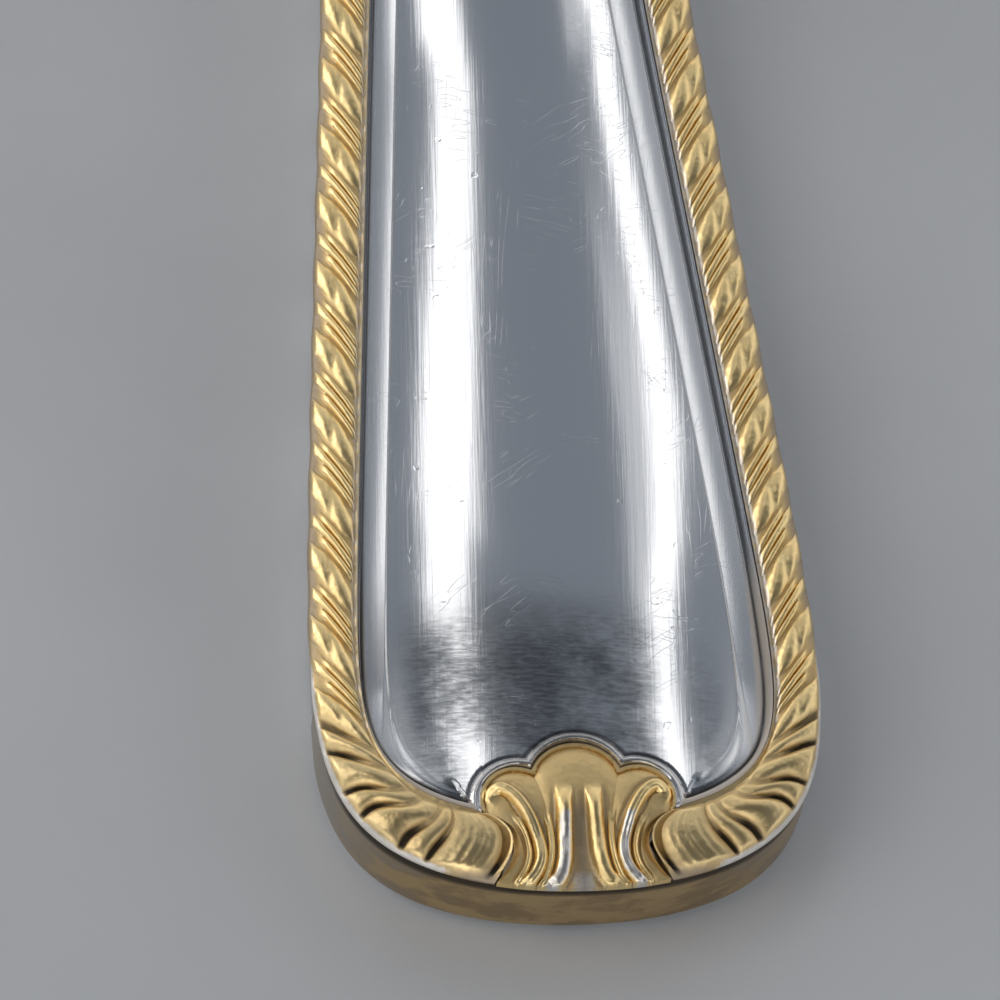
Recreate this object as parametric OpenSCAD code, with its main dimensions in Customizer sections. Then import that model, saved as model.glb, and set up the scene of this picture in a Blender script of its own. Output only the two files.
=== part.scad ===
// Dinner fork with a gilt gadroon border and a gilt shell at the handle's end.
// The fork lies on its back. Y runs along it, from the handle's end to the tine tips.
// Plan points are [x, u], where u is the distance from the handle's end.
// Heights are measured from the fork's underside, which arches along its length.

/* [Overall] */
// Length from the handle's end to the tine tips
fork_len = 200; // [190:1:210]

/* [Handle] */
// Width of the handle at its widest place
handle_w = 22; // [20:0.5:24]
// Distance of the widest place from the handle's end
widest_at = 13.2; // [12:0.2:15]
// How much each side narrows for each millimetre of length
side_taper = 0.082; // [0.07:0.002:0.09]
// Length over which the end rounds off
end_round = 3.7; // [3.2:0.1:4.2]
// Where the straight taper turns into the curve of the shank
taper_end = 60; // [50:1:70]
// Height of the ledge that carries the gilding
ledge_h = 3.9; // [3.3:0.1:4.3]
// How far the wall stands back under the lip of the border
wall_set = 0.35; // [0.3:0.05:0.5]
// Width of the bevel along the underside
foot_bevel = 0.9; // [0.6:0.1:1.2]
// Height of the bevel along the underside
foot_bevel_h = 0.5; // [0.3:0.05:0.8]
// Length of the flat back that lies on the table
flat_len = 40; // [32:1:46]

/* [Panel] */
// Height of the silver wall beside the border, above the ledge
seam_h = 0.76; // [0.66:0.02:0.8]
// Distance of the groove from the border
groove_at = 0.36; // [0.3:0.02:0.44]
// Height of the groove's floor, above the ledge
groove_h = 0.24; // [0.16:0.02:0.3]
// Distance of the bead's far edge from the border
bead_at = 1.42; // [1.3:0.02:1.5]
// Height of the bead's top, above the ledge
bead_h = 0.48; // [0.4:0.02:0.56]
// Height of the panel's edge, above the ledge
panel_h = 0.52; // [0.44:0.02:0.6]
// Rise of the panel's crown for each millimetre of its half width
crown_slope = 0.1; // [0.06:0.01:0.12]
// How far the panel falls towards the shell
end_fall = 0.3; // [0.2:0.05:0.4]

/* [Border] */
// Width of the border along the straight sides
border_w = 2.25; // [2:0.05:2.5]
// Width of the border where it runs out beside the shank
border_tip_w = 1.3; // [1.1:0.1:1.6]
// Distance of the border's far end from the handle's end
border_end = 102; // [95:1:106]
// Length over which the ledge closes beyond the border
fade_len = 8; // [6:1:12]
// Length of one lobe with its two reeds
lobe_pitch = 3.6; // [3.2:0.1:4]
// Height of the lobes over the lip
relief_h = 0.85; // [0.6:0.05:1.1]
// Thickness of the border's lip
lip_t = 0.25; // [0.2:0.05:0.4]
// Distance of the border's inner curve from the handle's end
seam_from = 3.15; // [2.9:0.05:3.4]
// Length over which the inner curve rounds off
seam_round = 2.3; // [2:0.1:2.6]
// Gap between the gilding and the silver under it
plate_gap = 0.05; // [0.03:0.01:0.08]
// Thickness of the gilt band on the end wall
band_t = 0.2; // [0.15:0.05:0.25]
// Length of the gilt band, each way from the middle of the end
band_len = 17; // [12:1:19]
// Height of the gilt band's lower edge
band_foot = 0.6; // [0.5:0.05:1]

/* [Shell] */
// Radius of the middle hood
dome_r = 2.05; // [1.8:0.05:2.3]
// Distance of the hood's centre from the handle's end
dome_at = 4.65; // [4.4:0.05:4.9]
// Radius of the side hoods
side_r = 1.6; // [1.4:0.05:1.7]
// Distance of each side hood's centre from the middle
side_x = 2.6; // [2.4:0.05:2.8]
// Distance of the side hoods' centres from the handle's end
side_at = 4; // [3.8:0.05:4.1]
// Half width of the shell's foot, measured along the edge
foot_half = 3.75; // [3.3:0.05:4.2]
// How far the shell's sides draw in at the waist
waist_in = 1.2; // [0.9:0.05:1.3]
// Height of the shell's ribs, as a share of the relief
rib_share = 0.3; // [0.2:0.05:0.4]
// Sway of the ribs
rib_sway = 0.3; // [0.2:0.05:0.4]

/* [Shank] */
// Width of the neck
neck_w = 7.2; // [6.4:0.2:8]
// Thickness of the neck
neck_t = 4.2; // [3.6:0.1:4.8]
// Distance from the neck to the roots of the tines
neck_len = 32; // [28:1:36]
// Height of the underside at the neck
arch_h = 11.5; // [9:0.5:13]

/* [Head] */
// Width of the head
head_w = 25.6; // [24:0.2:27]
// Width over the tine tips
tip_span = 23.4; // [22.4:0.2:24.4]
// Length of the tines, from the slot roots to the tips
tine_len = 48; // [42:1:52]
// Distance from the slot roots to where the head is widest
shoulder_len = 2; // [1:0.5:4]
// Distance from the slot roots to the belly that touches the table
belly_len = 12; // [9:1:15]
// Height of the underside at the tine tips
tip_rise = 12; // [9:0.5:14]
// Thickness of the head at the slot roots
head_t = 2.6; // [2.2:0.1:3]
// Thickness of the tines at their tips
tip_t = 1.5; // [1.2:0.1:1.8]
// Width of a tine at its root
tine_w = 3.8; // [3.4:0.1:4]
// Width of a tine just before its point
tine_tip_w = 2.2; // [1.9:0.1:2.4]
// Length of a tine's rounded point
point_len = 4; // [3:0.5:5]
// Rise of the head's edges over its middle
dish_h = 0.9; // [0.4:0.1:1.3]

/* [Hidden] */
silver = "#c4c8ce";
gold = "#d8a83e";

tine_count = 4;

// Stations along the length
root_at = fork_len - tine_len;
neck_at = root_at - neck_len;
belly_at = root_at + belly_len;
shoulder_at = root_at + shoulder_len;
end_zone = widest_at + 0.8;

// Shape of the rounded end: the power that its width follows
end_power = 0.468;
// Shape of the head's sides, from its widest place to the tips
tip_power = 1.5;
// Angle at which each side hood meets the border
side_hood_end = -20;
// Step between the bead and the panel, and where the straight crown begins at the end
bead_step = 0.08;
crown_in = bead_at + bead_step;
crown_from = dome_at + dome_r + 1.2;
crown_round = 1.5;
// Stretch over which the panel falls towards the shell
fall_to = 5.5;
fall_len = 9;

function mix(a, b, t) = a + (b - a) * t;
function ease(t) = let (c = min(1, max(0, t))) c * c * (3 - 2 * c);
function unit(v) = v / max(norm(v), 0.001);

// Cubic from value a with slope sa to value b with slope sb over a length
function bend(a, sa, b, sb, span, t) =
    (2 * t ^ 3 - 3 * t ^ 2 + 1) * a + (t ^ 3 - 2 * t ^ 2 + t) * span * sa
    + (3 * t ^ 2 - 2 * t ^ 3) * b + (t ^ 3 - t ^ 2) * span * sb;

// Side line of the fork, without the rounding of the handle's end
function side_line(u) =
    u <= taper_end ? handle_w / 2 + side_taper * (widest_at - u) :
    u <= neck_at ? bend(side_line(taper_end), -side_taper, neck_w / 2, 0, neck_at - taper_end,
                        (u - taper_end) / (neck_at - taper_end)) :
    u <= shoulder_at ? mix(neck_w, head_w, ease((u - neck_at) / (shoulder_at - neck_at))) / 2 :
    mix(head_w, tip_span, ((u - shoulder_at) / (fork_len - shoulder_at)) ^ tip_power) / 2;
function end_factor(d, reach) = d <= 0 ? 0 : (1 - exp(-d / reach)) ^ end_power;
function half_w(u) = side_line(u) * end_factor(u, end_round);

// Border: its width, and the half width of the silver inside it
function border_at(u) = mix(border_w, border_tip_w, ease((u - taper_end) / (border_end - taper_end)));
function seam_half(u) = (side_line(u) - border_at(u)) * end_factor(u - seam_from, seam_round);
function crown_half(u) = (side_line(u) - border_at(u) - crown_in) * end_factor(u - crown_from, crown_round);

// Underside of the fork above the table
function underside(u) =
    u <= flat_len ? 0 :
    u <= neck_at ? arch_h * ease((u - flat_len) / (neck_at - flat_len)) :
    u <= belly_at ? arch_h * (1 - ease((u - neck_at) / (belly_at - neck_at))) :
    tip_rise * ((u - belly_at) / (fork_len - belly_at)) ^ 2;
function place(p) = [p[0], p[1] - fork_len / 2, p[2] + underside(p[1])];
function mirrored(p) = [-p[0], p[1], p[2]];

// A curve as two lookup tables, of x and of u, against the length along it
function lengths(p) = [for (i = 0, s = 0; i < len(p);
    s = s + (i < len(p) - 1 ? norm(p[i + 1] - p[i]) : 0), i = i + 1) s];
function curve(p) = let (s = lengths(p))
    [for (axis = [0, 1]) [for (i = [0 : len(p) - 1]) [s[i], p[i][axis]]]];
function along(c, s) = [lookup(s, c[0]), lookup(s, c[1])];
function total(c) = c[0][len(c[0]) - 1][0];
// Length along a curve at which it reaches the station u
function reach(c, u) = lookup(u, [for (i = [0 : len(c[0]) - 1]) [c[1][i][1], c[0][i][0]]]);

// Stations of a curve's points, close together where the end rounds off
station_power = 2.5;
function stations(from, to, n) = [for (i = [0 : n]) mix(from, to, (i / n) ^ station_power)];
rim_steps = 60;
seam_steps = 40;
straight_steps = 30;
function straight(from) = [for (i = [1 : straight_steps]) mix(from, border_end, i / straight_steps)];

rim = curve([for (u = concat(stations(0, end_zone, rim_steps), straight(end_zone))) [half_w(u), u]]);

// Where the middle hood meets the side hoods
hood_gap = norm([side_x, side_at - dome_at]);
hood_dir = [side_x, side_at - dome_at] / hood_gap;
hood_mid = (dome_r ^ 2 - side_r ^ 2 + hood_gap ^ 2) / (2 * hood_gap);
hood_meet = [0, dome_at] + hood_mid * hood_dir
    + sqrt(dome_r ^ 2 - hood_mid ^ 2) * [-hood_dir[1], hood_dir[0]];
dome_stop = atan2(hood_meet[1] - dome_at, hood_meet[0]);
side_start = atan2(hood_meet[1] - side_at, hood_meet[0] - side_x);
hood_end = [side_x + side_r * cos(side_hood_end), side_at + side_r * sin(side_hood_end)];
// Station at which the border's inner curve leaves the side hood, a little past where they meet
seam_past = 0.1;
seam_start = seam_from + seam_past - seam_round
    * ln(1 - (hood_end[0] / (side_line(seam_from) - border_w)) ^ (1 / end_power));

arc_steps = 8;
hoods = concat(
    [for (i = [0 : arc_steps - 1]) let (a = mix(90, dome_stop, i / arc_steps))
        [dome_r * cos(a), dome_at + dome_r * sin(a)]],
    [for (i = [0 : arc_steps]) let (a = mix(side_start, side_hood_end, i / arc_steps))
        [side_x + side_r * cos(a), side_at + side_r * sin(a)]]);
seam_points = [for (u = concat(stations(seam_start, end_zone, seam_steps), straight(end_zone)))
    [seam_half(u), u]];
hood_line = curve(concat(hoods, [seam_points[0]]));
seam = curve(seam_points);
// Inner edge of all the gilding, from the top of the middle hood outwards
inner = curve(concat(hoods, seam_points));
crown_line = curve([for (u = concat(stations(crown_from, end_zone, seam_steps), straight(end_zone)))
    [crown_half(u), u]]);

// Columns across half of a section: the crown's, all of the top's, and the foot's
crown_cols = 3;
half_cols = 10;
foot_cols = 4;

// Handle section. Each right half is listed from the middle of the panel outwards
function panel_rise(p) =
    let (w = max(side_line(p[1]) - border_at(p[1]) - crown_in, 1))
    max(0, crown_slope * w * (1 - (p[0] / w) ^ 2) - end_fall * (1 - ease((p[1] - fall_to) / fall_len)));
function lift(p, h) = [p[0], p[1], ledge_h + h];
function moulded(p, h) = lift(p, h + panel_rise(p));
// Bead, from its far edge to the groove: shares of its width and of its height
bead_shape = [[1, 1], [0.62, 0.92], [0.28, 0.58], [0, 0]];
function handle_half(rim_p, seam_p, crown_p, pull) =
    let (in_dir = unit(crown_p - seam_p), out_dir = unit(rim_p - seam_p))
    concat(
        [for (k = [0 : crown_cols]) moulded([crown_p[0] * k / crown_cols, crown_p[1]], panel_h)],
        [for (b = bead_shape)
            moulded(seam_p + in_dir * pull * mix(groove_at, bead_at, b[0]), mix(groove_h, bead_h, b[1]))],
        [lift(seam_p, seam_h), lift(seam_p, 0), lift(rim_p - out_dir * wall_set, 0)]);
function handle_wall(rim_p, seam_p) =
    let (out_dir = unit(rim_p - seam_p), q = rim_p - out_dir * wall_set)
    [[q[0], q[1], ledge_h / 2], [q[0], q[1], foot_bevel_h]];
function handle_foot(rim_p, seam_p) =
    let (q = rim_p - unit(rim_p - seam_p) * (wall_set + foot_bevel))
    [for (i = [foot_cols : -1 : 0]) [q[0] * i / foot_cols, q[1], 0]];

// Plain section of the shank and the head, in the same order. The slots' middle lines run on
// through the head, at a fixed share of its half width
slot_col = half_cols / 2;
gap_share = tine_pitch(root_at) / half_w(root_at);
function share(k) = k <= slot_col ? gap_share * k / slot_col
    : mix(gap_share, 1, (k - slot_col) / (half_cols - slot_col));
function thick(u) = u <= neck_at ? neck_t
    : u <= root_at ? mix(neck_t, head_t, ease((u - neck_at) / (root_at - neck_at)))
    : mix(head_t, tip_t, (u - root_at) / (fork_len - root_at));
// Growth from the round shank to the flat head
function headed(u) = ease((u - neck_at) / neck_len);
function dish(u) = dish_h * headed(u);
// Rounding of the edges: its depth as a share of the thickness, its power and how far it draws in
shank_drop = 0.3;
head_drop = 0.22;
shank_round = 3;
head_round = 10;
top_inset = 0.03;
foot_inset = 0.05;
inset_power = 6;
// Heights of the upright wall between the rounded edges, as shares of the thickness
wall_levels = [0.6, 0.4];
function edge_drop(u) = mix(shank_drop, head_drop, headed(u)) * thick(u);
function rounding(u, s) = edge_drop(u) * s ^ mix(shank_round, head_round, headed(u));
function plain_half(u) = let (w = half_w(u))
    [for (k = [0 : half_cols]) let (s = share(k))
        [w * s * (1 - top_inset * s ^ inset_power), u, thick(u) - rounding(u, s) + dish(u) * s ^ 2]];
function plain_wall(u) = [for (level = wall_levels) [half_w(u), u, thick(u) * level + dish(u)]];
function plain_foot(u) = let (w = half_w(u))
    [for (i = [foot_cols : -1 : 0]) let (s = share(i * half_cols / foot_cols))
        [w * s * (1 - foot_inset * s ^ inset_power), u, rounding(u, s) + dish(u) * s ^ 2]];

// A whole section: top from left to right, right wall, underside, left wall
function section(top, wall, foot) = concat(
    [for (k = [half_cols : -1 : 1]) mirrored(top[k])], top,
    wall, foot, [for (i = [foot_cols - 1 : -1 : 0]) mirrored(foot[i])],
    [mirrored(wall[1]), mirrored(wall[0])]);
function blend_sections(a, b, t) = [for (i = [0 : len(a) - 1]) mix(a[i], b[i], t)];

// The moulding is narrower round the shell, and where the handle narrows to less than a full bead
bead_end_share = 0.44;
pull_from = 0.3;
pull_len = 0.62;
full_bead_half = 4;
function bead_pull(t) = mix(bead_end_share, 1, ease((t - pull_from) / pull_len));
end_rows = 24;
function end_section(t) =
    let (rim_p = along(rim, t * reach(rim, end_zone)),
         seam_p = along(inner, t * reach(inner, end_zone)),
         crown_p = along(crown_line, t * reach(crown_line, end_zone)))
    section(handle_half(rim_p, seam_p, crown_p, bead_pull(t)), handle_wall(rim_p, seam_p),
            handle_foot(rim_p, seam_p));
function side_section(u) =
    let (rim_p = [half_w(u), u], seam_p = [seam_half(u), u], crown_p = [crown_half(u), u],
         pull = min(1, seam_half(u) / full_bead_half))
    section(handle_half(rim_p, seam_p, crown_p, pull), handle_wall(rim_p, seam_p),
            handle_foot(rim_p, seam_p));
function plain_section(u) = section(plain_half(u), plain_wall(u), plain_foot(u));

flat_rows = 3;
arch_rows = 12;
fade_rows = 4;
head_rows = 13;
body = concat(
    [for (i = [0 : end_rows]) end_section(i / end_rows)],
    [for (i = [1 : flat_rows]) side_section(mix(end_zone, flat_len, i / flat_rows))],
    [for (i = [1 : arch_rows]) side_section(mix(flat_len, border_end, i / arch_rows))],
    [for (i = [1 : fade_rows]) let (t = i / fade_rows, u = border_end + fade_len * t)
        blend_sections(side_section(u), plain_section(u), ease(t))],
    [for (i = [1 : head_rows]) plain_section(mix(border_end + fade_len, root_at, i / head_rows))]);

// Tines: the slots open in a half round at the roots and widen towards the tips
root_shares = [0.12, 0.3, 0.6, 1];
point_shares = [0.4, 0.7, 0.9, 1];
tine_steps = 9;
// Rounding of a point, the width that is left at its end and the thickness there, as shares
point_power = 2.2;
point_left = 0.14;
point_thick = 0.45;
// Rounding of a tine's edges: its power, and how far its top and its foot draw in
tine_round = 3;
tine_top = 0.95;
tine_foot = 0.92;
function tine_width(u) = mix(tine_w, tine_tip_w, (u - root_at) / (fork_len - root_at));
function tine_pitch(u) = (2 * half_w(u) - tine_width(u)) / (tine_count - 1);
slot_r = (tine_pitch(root_at) - tine_w) / 2;
function slot_open(u) = min(1, (u - root_at) / slot_r);
function slot_half(u) = (tine_pitch(u) - tine_width(u)) / 2 * sqrt(max(0, 1 - (1 - slot_open(u)) ^ 2));
function point_share(u) = let (d = max(0, u - (fork_len - point_len)) / point_len)
    max(point_left, sqrt(max(0, 1 - d ^ point_power)));
tine_stations = concat(
    [for (r = root_shares) root_at + slot_r * r],
    [for (i = [1 : tine_steps]) mix(root_at + slot_r, fork_len - point_len, i / tine_steps)],
    [for (d = point_shares) fork_len - point_len * (1 - d)]);
function tine_section(n, u) =
    let (p = tine_pitch(u), w = half_w(u), s = slot_half(u),
         far_left = n == 0 ? -w : (n - 2) * p + s,
         far_right = n == tine_count - 1 ? w : (n - 1) * p - s,
         mid = (far_left + far_right) / 2,
         half = (far_right - far_left) / 2 * point_share(u),
         t = thick(u) * mix(point_thick, 1, point_share(u)),
         slot_drop = edge_drop(u) * slot_open(u),
         left_drop = n == 0 ? edge_drop(u) : slot_drop,
         right_drop = n == tine_count - 1 ? edge_drop(u) : slot_drop,
         spots = concat(
             [for (j = [0 : slot_col]) let (a = 2 * j / slot_col - 1)
                 [a * tine_top, t - (a < 0 ? left_drop : right_drop) * abs(a) ^ tine_round]],
             [for (level = wall_levels) [1, t * level]],
             [[tine_foot, right_drop], [0, 0], [-tine_foot, left_drop]],
             [for (i = [1, 0]) [-1, t * wall_levels[i]]]))
    [for (s = spots) let (x = mid + half * s[0])
        [x, u, s[1] + (thick(u) - t) / 2 + dish(u) * (x / w) ^ 2]];

// Counts of points: in a section of the body, up to its right wall and its foot, and in a tine's
ring_n = len(body[0]);
last_top = 2 * half_cols;
foot_first = last_top + len(wall_levels) + 1;
foot_last = foot_first + 2 * foot_cols;
tine_n = len(tine_section(0, root_at));
body_count = len(body);
tine_length = len(tine_stations);
// Index of a body point. In the first row the two halves meet on the middle line
function body_at(row, i) =
    let (j = i % ring_n)
    row > 0 ? row * ring_n + j :
    j <= last_top ? min(j, last_top - j, half_cols - crown_cols) :
    j < foot_first ? ring_n + last_top - j :
    max(j, foot_last);
// Index of a tine point. Its first row lies in the last section of the head
function tine_at(n, row, i) =
    let (j = i % tine_n, last = (body_count - 1) * ring_n, is_left = n == 0,
         is_right = n == tine_count - 1, left_top = slot_col * n, right_top = left_top + slot_col,
         left_foot = foot_last - 2 * n, right_foot = left_foot - 2)
    row >= 0 ? body_count * ring_n + (n * tine_length + row) * tine_n + j :
    last + (j <= slot_col ? left_top + j :
        j == slot_col + 1 ? (is_right ? last_top + 1 : right_top) :
        j == slot_col + 2 ? (is_right ? last_top + 2 : right_foot) :
        j <= slot_col + 5 ? right_foot + j - slot_col - 3 :
        j == slot_col + 6 ? (is_left ? foot_last + 1 : left_foot) :
        is_left ? foot_last + 2 : left_top);
convexity = 10;
function sound(faces) = [for (f = faces) if (f[0] != f[1] && f[1] != f[2] && f[2] != f[0]) f];
function pair(a, b, c, d) = [[a, c, b], [a, d, c]];

module fork_blank() {
    points = concat(
        [for (r = body) for (p = r) place(p)],
        [for (n = [0 : tine_count - 1]) for (u = tine_stations) for (p = tine_section(n, u)) place(p)]);
    body_faces = [for (r = [0 : body_count - 2]) for (i = [0 : ring_n - 1])
        each pair(body_at(r, i), body_at(r, i + 1), body_at(r + 1, i + 1), body_at(r + 1, i))];
    tine_faces = [for (n = [0 : tine_count - 1]) for (r = [-1 : tine_length - 2]) for (i = [0 : tine_n - 1])
        each pair(tine_at(n, r, i), tine_at(n, r, i + 1), tine_at(n, r + 1, i + 1), tine_at(n, r + 1, i))];
    tip_faces = [for (n = [0 : tine_count - 1])
        [for (i = [tine_n - 1 : -1 : 0]) tine_at(n, tine_length - 1, i)]];
    color(silver) polyhedron(points, concat(sound(body_faces), sound(tine_faces), tip_faces), convexity);
}

// Gadroon border. A line across it is counted in lobes from the shell, 0 on the shell's side
// One lobe and one reed: places of the lines in the unit, and heights over the grooves
unit_phases = [0, 0.08, 0.2, 0.3, 0.5, 0.7, 0.8, 0.92];
unit_heights = [0.8, 0.1, 0, 0.8, 1, 0.8, 0, 0.1];
end_line_h = 0.3;
// Across the border, from the panel to the rim: place, height of the grooves, share of the lobes
// that rises there and greatest height. A plain strip comes first and a slanted edge last
across = [[0, 0.56, 0, 1], [0.13, 0.56, 0, 1], [0.36, 0.45, 1, 1], [0.76, 0.3, 1, 1], [1, 0.1, 1, 0.2]];
function across_h(a, h) = min(mix(a[1], 1, a[2] * h), a[3]);
under_shares = [1, 0.5, 0];
// Corner: how fast the lobes' inner ends move on, and where they reach the straight side
corner_step = 1.05;
corner_lobes = 3.2;
corner_soft = 0.6;
function soft_step(x) = (x + sqrt(x ^ 2 + corner_soft)) / 2;
function inner_run(c) = corner_step * c
    + (lobe_pitch - corner_step) * (soft_step(c - corner_lobes) - soft_step(-corner_lobes));
function outer_run(c) = foot_half + lobe_pitch * c;
// Scroll of the first lobes round the shell's side, and the sway of the leaves at the corner
scroll_reach = 0.8;
sway_in = 0.28;
sway_at = 1.6;
function scroll(c) = waist_in * exp(-(c / scroll_reach) ^ 2);
function sway(c) = sway_in * exp(-((c - sway_at) / scroll_reach) ^ 2);
function border_point(c, v) =
    let (a = along(seam, inner_run(c)), b = along(rim, outer_run(c)), d = unit(b - a))
    mix(a, b, mix(plate_gap / border_w, 1, v))
        + [d[1], -d[0]] * (scroll(c) * 4 * v * (1 - v) + sway(c) * sin(360 * v));
lobe_end = (reach(rim, border_end) - foot_half) / lobe_pitch;
// The relief runs out over the last lobes
runout_low = 0.3;
runout_lobes = 1.5;
function runout(c) = mix(runout_low, 1, ease((lobe_end - c) / runout_lobes));
function border_section(c, h) =
    let (low = ledge_h + plate_gap)
    concat(
        [for (a = across) let (p = border_point(c, a[0]))
            [p[0], p[1], low + lip_t + relief_h * across_h(a, h) * runout(c)]],
        [for (v = under_shares) let (p = border_point(c, v)) [p[0], p[1], low]]);
least_step = 0.02;
border_lines = concat([[plate_gap / lobe_pitch, end_line_h]],
    [for (k = [0 : floor(lobe_end)]) for (i = [0 : len(unit_phases) - 1])
        let (c = k + unit_phases[i]) if (c > 0 && c < lobe_end - least_step) [c, unit_heights[i]]],
    [[lobe_end, end_line_h]]);

// Triangles between two lines of points that may differ in number
function stitch(a, b) =
    let (na = len(a) - 1, nb = len(b) - 1, hub = [for (i = [0 : na - 1]) round((i + 0.5) * nb / na)])
    concat(
        [for (i = [0 : na - 1]) [a[i], a[i + 1], b[hub[i]]]],
        [for (j = [0 : nb - 1]) [b[j + 1], b[j], a[len([for (h = hub) if (h <= j) h])]]]);

// A closed skin over a row of equal sections, each its top points and then its lower ones
module skin(sections, top_n) {
    n = len(sections[0]);
    last = len(sections) - 1;
    points = [for (s = sections) for (p = s) place(p)];
    sides = [for (r = [0 : last - 1]) for (i = [0 : n - 1]) let (j = (i + 1) % n)
        each pair(r * n + i, r * n + j, (r + 1) * n + j, (r + 1) * n + i)];
    cap = stitch([for (i = [0 : top_n - 1]) i], [for (i = [n - 1 : -1 : top_n]) i]);
    last_cap = [for (f = cap) [for (i = [2, 1, 0]) last * n + f[i]]];
    polyhedron(points, concat(sides, cap, last_cap), convexity);
}

module gilt_border_right() {
    color(gold) skin([for (l = border_lines) border_section(l[0], l[1])], len(across));
}

module gilt_border_left() {
    color(gold) mirror([1, 0, 0]) skin([for (l = border_lines) border_section(l[0], l[1])], len(across));
}

// Shell. q runs from the middle, 0, to the side, 1, and r from the foot, 0, to the hoods, 1
shell_cols = 16;
shell_rows = 12;
hood_reach = total(hood_line);
hood_clear = 2.4 * plate_gap;
function shell_point(q, r) =
    let (a = abs(q), foot = along(rim, foot_half * sqrt(a)), hood = along(hood_line, hood_reach * a),
         d = unit(foot - hood), top = hood + d * hood_clear,
         draw = (waist_in * (1 - (1 - a) ^ 3) + rib_sway * sin(180 * a)) * 4 * r * (1 - r),
         p = mix(foot, top, r) + [d[1], -d[0]] * (draw + plate_gap * a))
    [sign(q) * max(0, p[0]), p[1]];
// Heights as shares of the relief: at the foot, added up the stem and added on the hoods
foot_rise = 0.2;
stem_rise = 0.45;
stem_end = 0.25;
hood_rise = 0.25;
hood_start = 0.5;
hood_len = 0.3;
side_fall = 0.4;
// Ribs: their places across, half width, and where they start and run out
rib_places = [0.25, 0.5, 0.77];
rib_half = 0.075;
rib_start = 0.12;
rib_stop = 0.95;
rib_fade = 0.3;
// Flute up the middle of the stem
flute_share = 0.15;
flute_half = 0.15;
flute_stop = 0.7;
flute_fade = 0.3;
// Lower edge round the hoods, and along the sides beside the border
brow_low = 0.5;
brow_len = 0.08;
side_low = 0.6;
side_len = 0.12;
function rib_wave(q) = max([for (p = rib_places) exp(-((abs(q) - p) / rib_half) ^ 2)]);
function shell_rise(q, r) =
    let (stem = foot_rise + stem_rise * ease(r / stem_end),
         hood = hood_rise * ease((r - hood_start) / hood_len) * (1 - abs(q) * side_fall),
         ribs = rib_share * rib_wave(q) * ease(r / rib_start) * ease((rib_stop - r) / rib_fade),
         fluted = ease((flute_stop - r) / flute_fade) * ease(r / stem_end),
         flute = flute_share * exp(-(q / flute_half) ^ 2) * fluted,
         brow = mix(brow_low, 1, ease((1 - r) / brow_len)),
         side = mix(side_low, 1, ease((1 - abs(q)) / side_len)))
    (stem + hood + ribs - flute) * brow * side;

module gilt_shell() {
    low = ledge_h + plate_gap;
    color(gold) skin([for (j = [0 : shell_rows]) let (r = j / shell_rows) concat(
        [for (i = [-shell_cols : shell_cols]) let (q = i / shell_cols, p = shell_point(q, r))
            [p[0], p[1], low + lip_t + relief_h * shell_rise(q, r)]],
        [for (i = [shell_cols : -2 : -shell_cols]) let (p = shell_point(i / shell_cols, r))
            [p[0], p[1], low]])], 2 * shell_cols + 1);
}

// Gilt band on the wall round the handle's end, thinned out at both ends
band_rows = 26;
band_power = 0.8;
band_tip = 0.3;
band_thinned = 0.2;
function band_frame(s) =
    let (p = along(rim, abs(s)), q = along(inner, abs(s) * reach(inner, end_zone) / reach(rim, end_zone)),
         d = unit(p - q), side = s < 0 ? -1 : 1)
    [[side * p[0], p[1]], [side * d[0], d[1]]];
function band_section(t) =
    let (f = band_frame(sign(t) * band_len * abs(t) ^ band_power), top = ledge_h - plate_gap,
         grown = band_t * mix(band_tip, 1, ease((1 - abs(t)) / band_thinned)),
         near = f[0] - f[1] * (wall_set - plate_gap), far = near + f[1] * grown)
    [[near[0], near[1], top], [far[0], far[1], top],
     [far[0], far[1], band_foot], [near[0], near[1], band_foot]];

module gilt_edge_band() {
    color(gold) skin([for (i = [-band_rows : band_rows]) band_section(i / band_rows)], 2);
}

fork_blank();
gilt_border_left();
gilt_border_right();
gilt_shell();
gilt_edge_band();
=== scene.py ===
import math

import bmesh
import bpy
import numpy as np
from mathutils import Matrix, Vector


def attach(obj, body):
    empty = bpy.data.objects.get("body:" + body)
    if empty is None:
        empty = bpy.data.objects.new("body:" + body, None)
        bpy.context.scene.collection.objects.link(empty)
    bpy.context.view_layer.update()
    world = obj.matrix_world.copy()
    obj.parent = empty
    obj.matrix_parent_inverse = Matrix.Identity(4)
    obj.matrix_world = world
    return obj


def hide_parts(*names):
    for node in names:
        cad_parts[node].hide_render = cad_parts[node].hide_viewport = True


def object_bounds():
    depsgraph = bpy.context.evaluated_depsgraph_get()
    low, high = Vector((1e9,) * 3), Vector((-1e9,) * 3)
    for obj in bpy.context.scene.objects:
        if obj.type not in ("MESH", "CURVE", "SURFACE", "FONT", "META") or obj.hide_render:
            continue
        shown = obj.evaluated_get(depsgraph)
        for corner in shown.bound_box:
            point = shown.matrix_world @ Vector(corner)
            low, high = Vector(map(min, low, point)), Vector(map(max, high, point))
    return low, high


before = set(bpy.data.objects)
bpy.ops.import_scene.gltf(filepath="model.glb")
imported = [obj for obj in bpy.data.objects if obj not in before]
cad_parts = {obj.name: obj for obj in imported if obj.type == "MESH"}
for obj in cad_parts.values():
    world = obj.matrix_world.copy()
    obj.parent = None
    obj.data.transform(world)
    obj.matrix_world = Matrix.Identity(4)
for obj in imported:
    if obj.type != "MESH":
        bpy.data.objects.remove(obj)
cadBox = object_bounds()
mm = 0.001
print("frame loaded:", ", ".join(sorted(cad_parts)))


class Values(dict):  # a dictionary whose values are also read with a dot
    __getattr__ = dict.__getitem__


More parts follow.
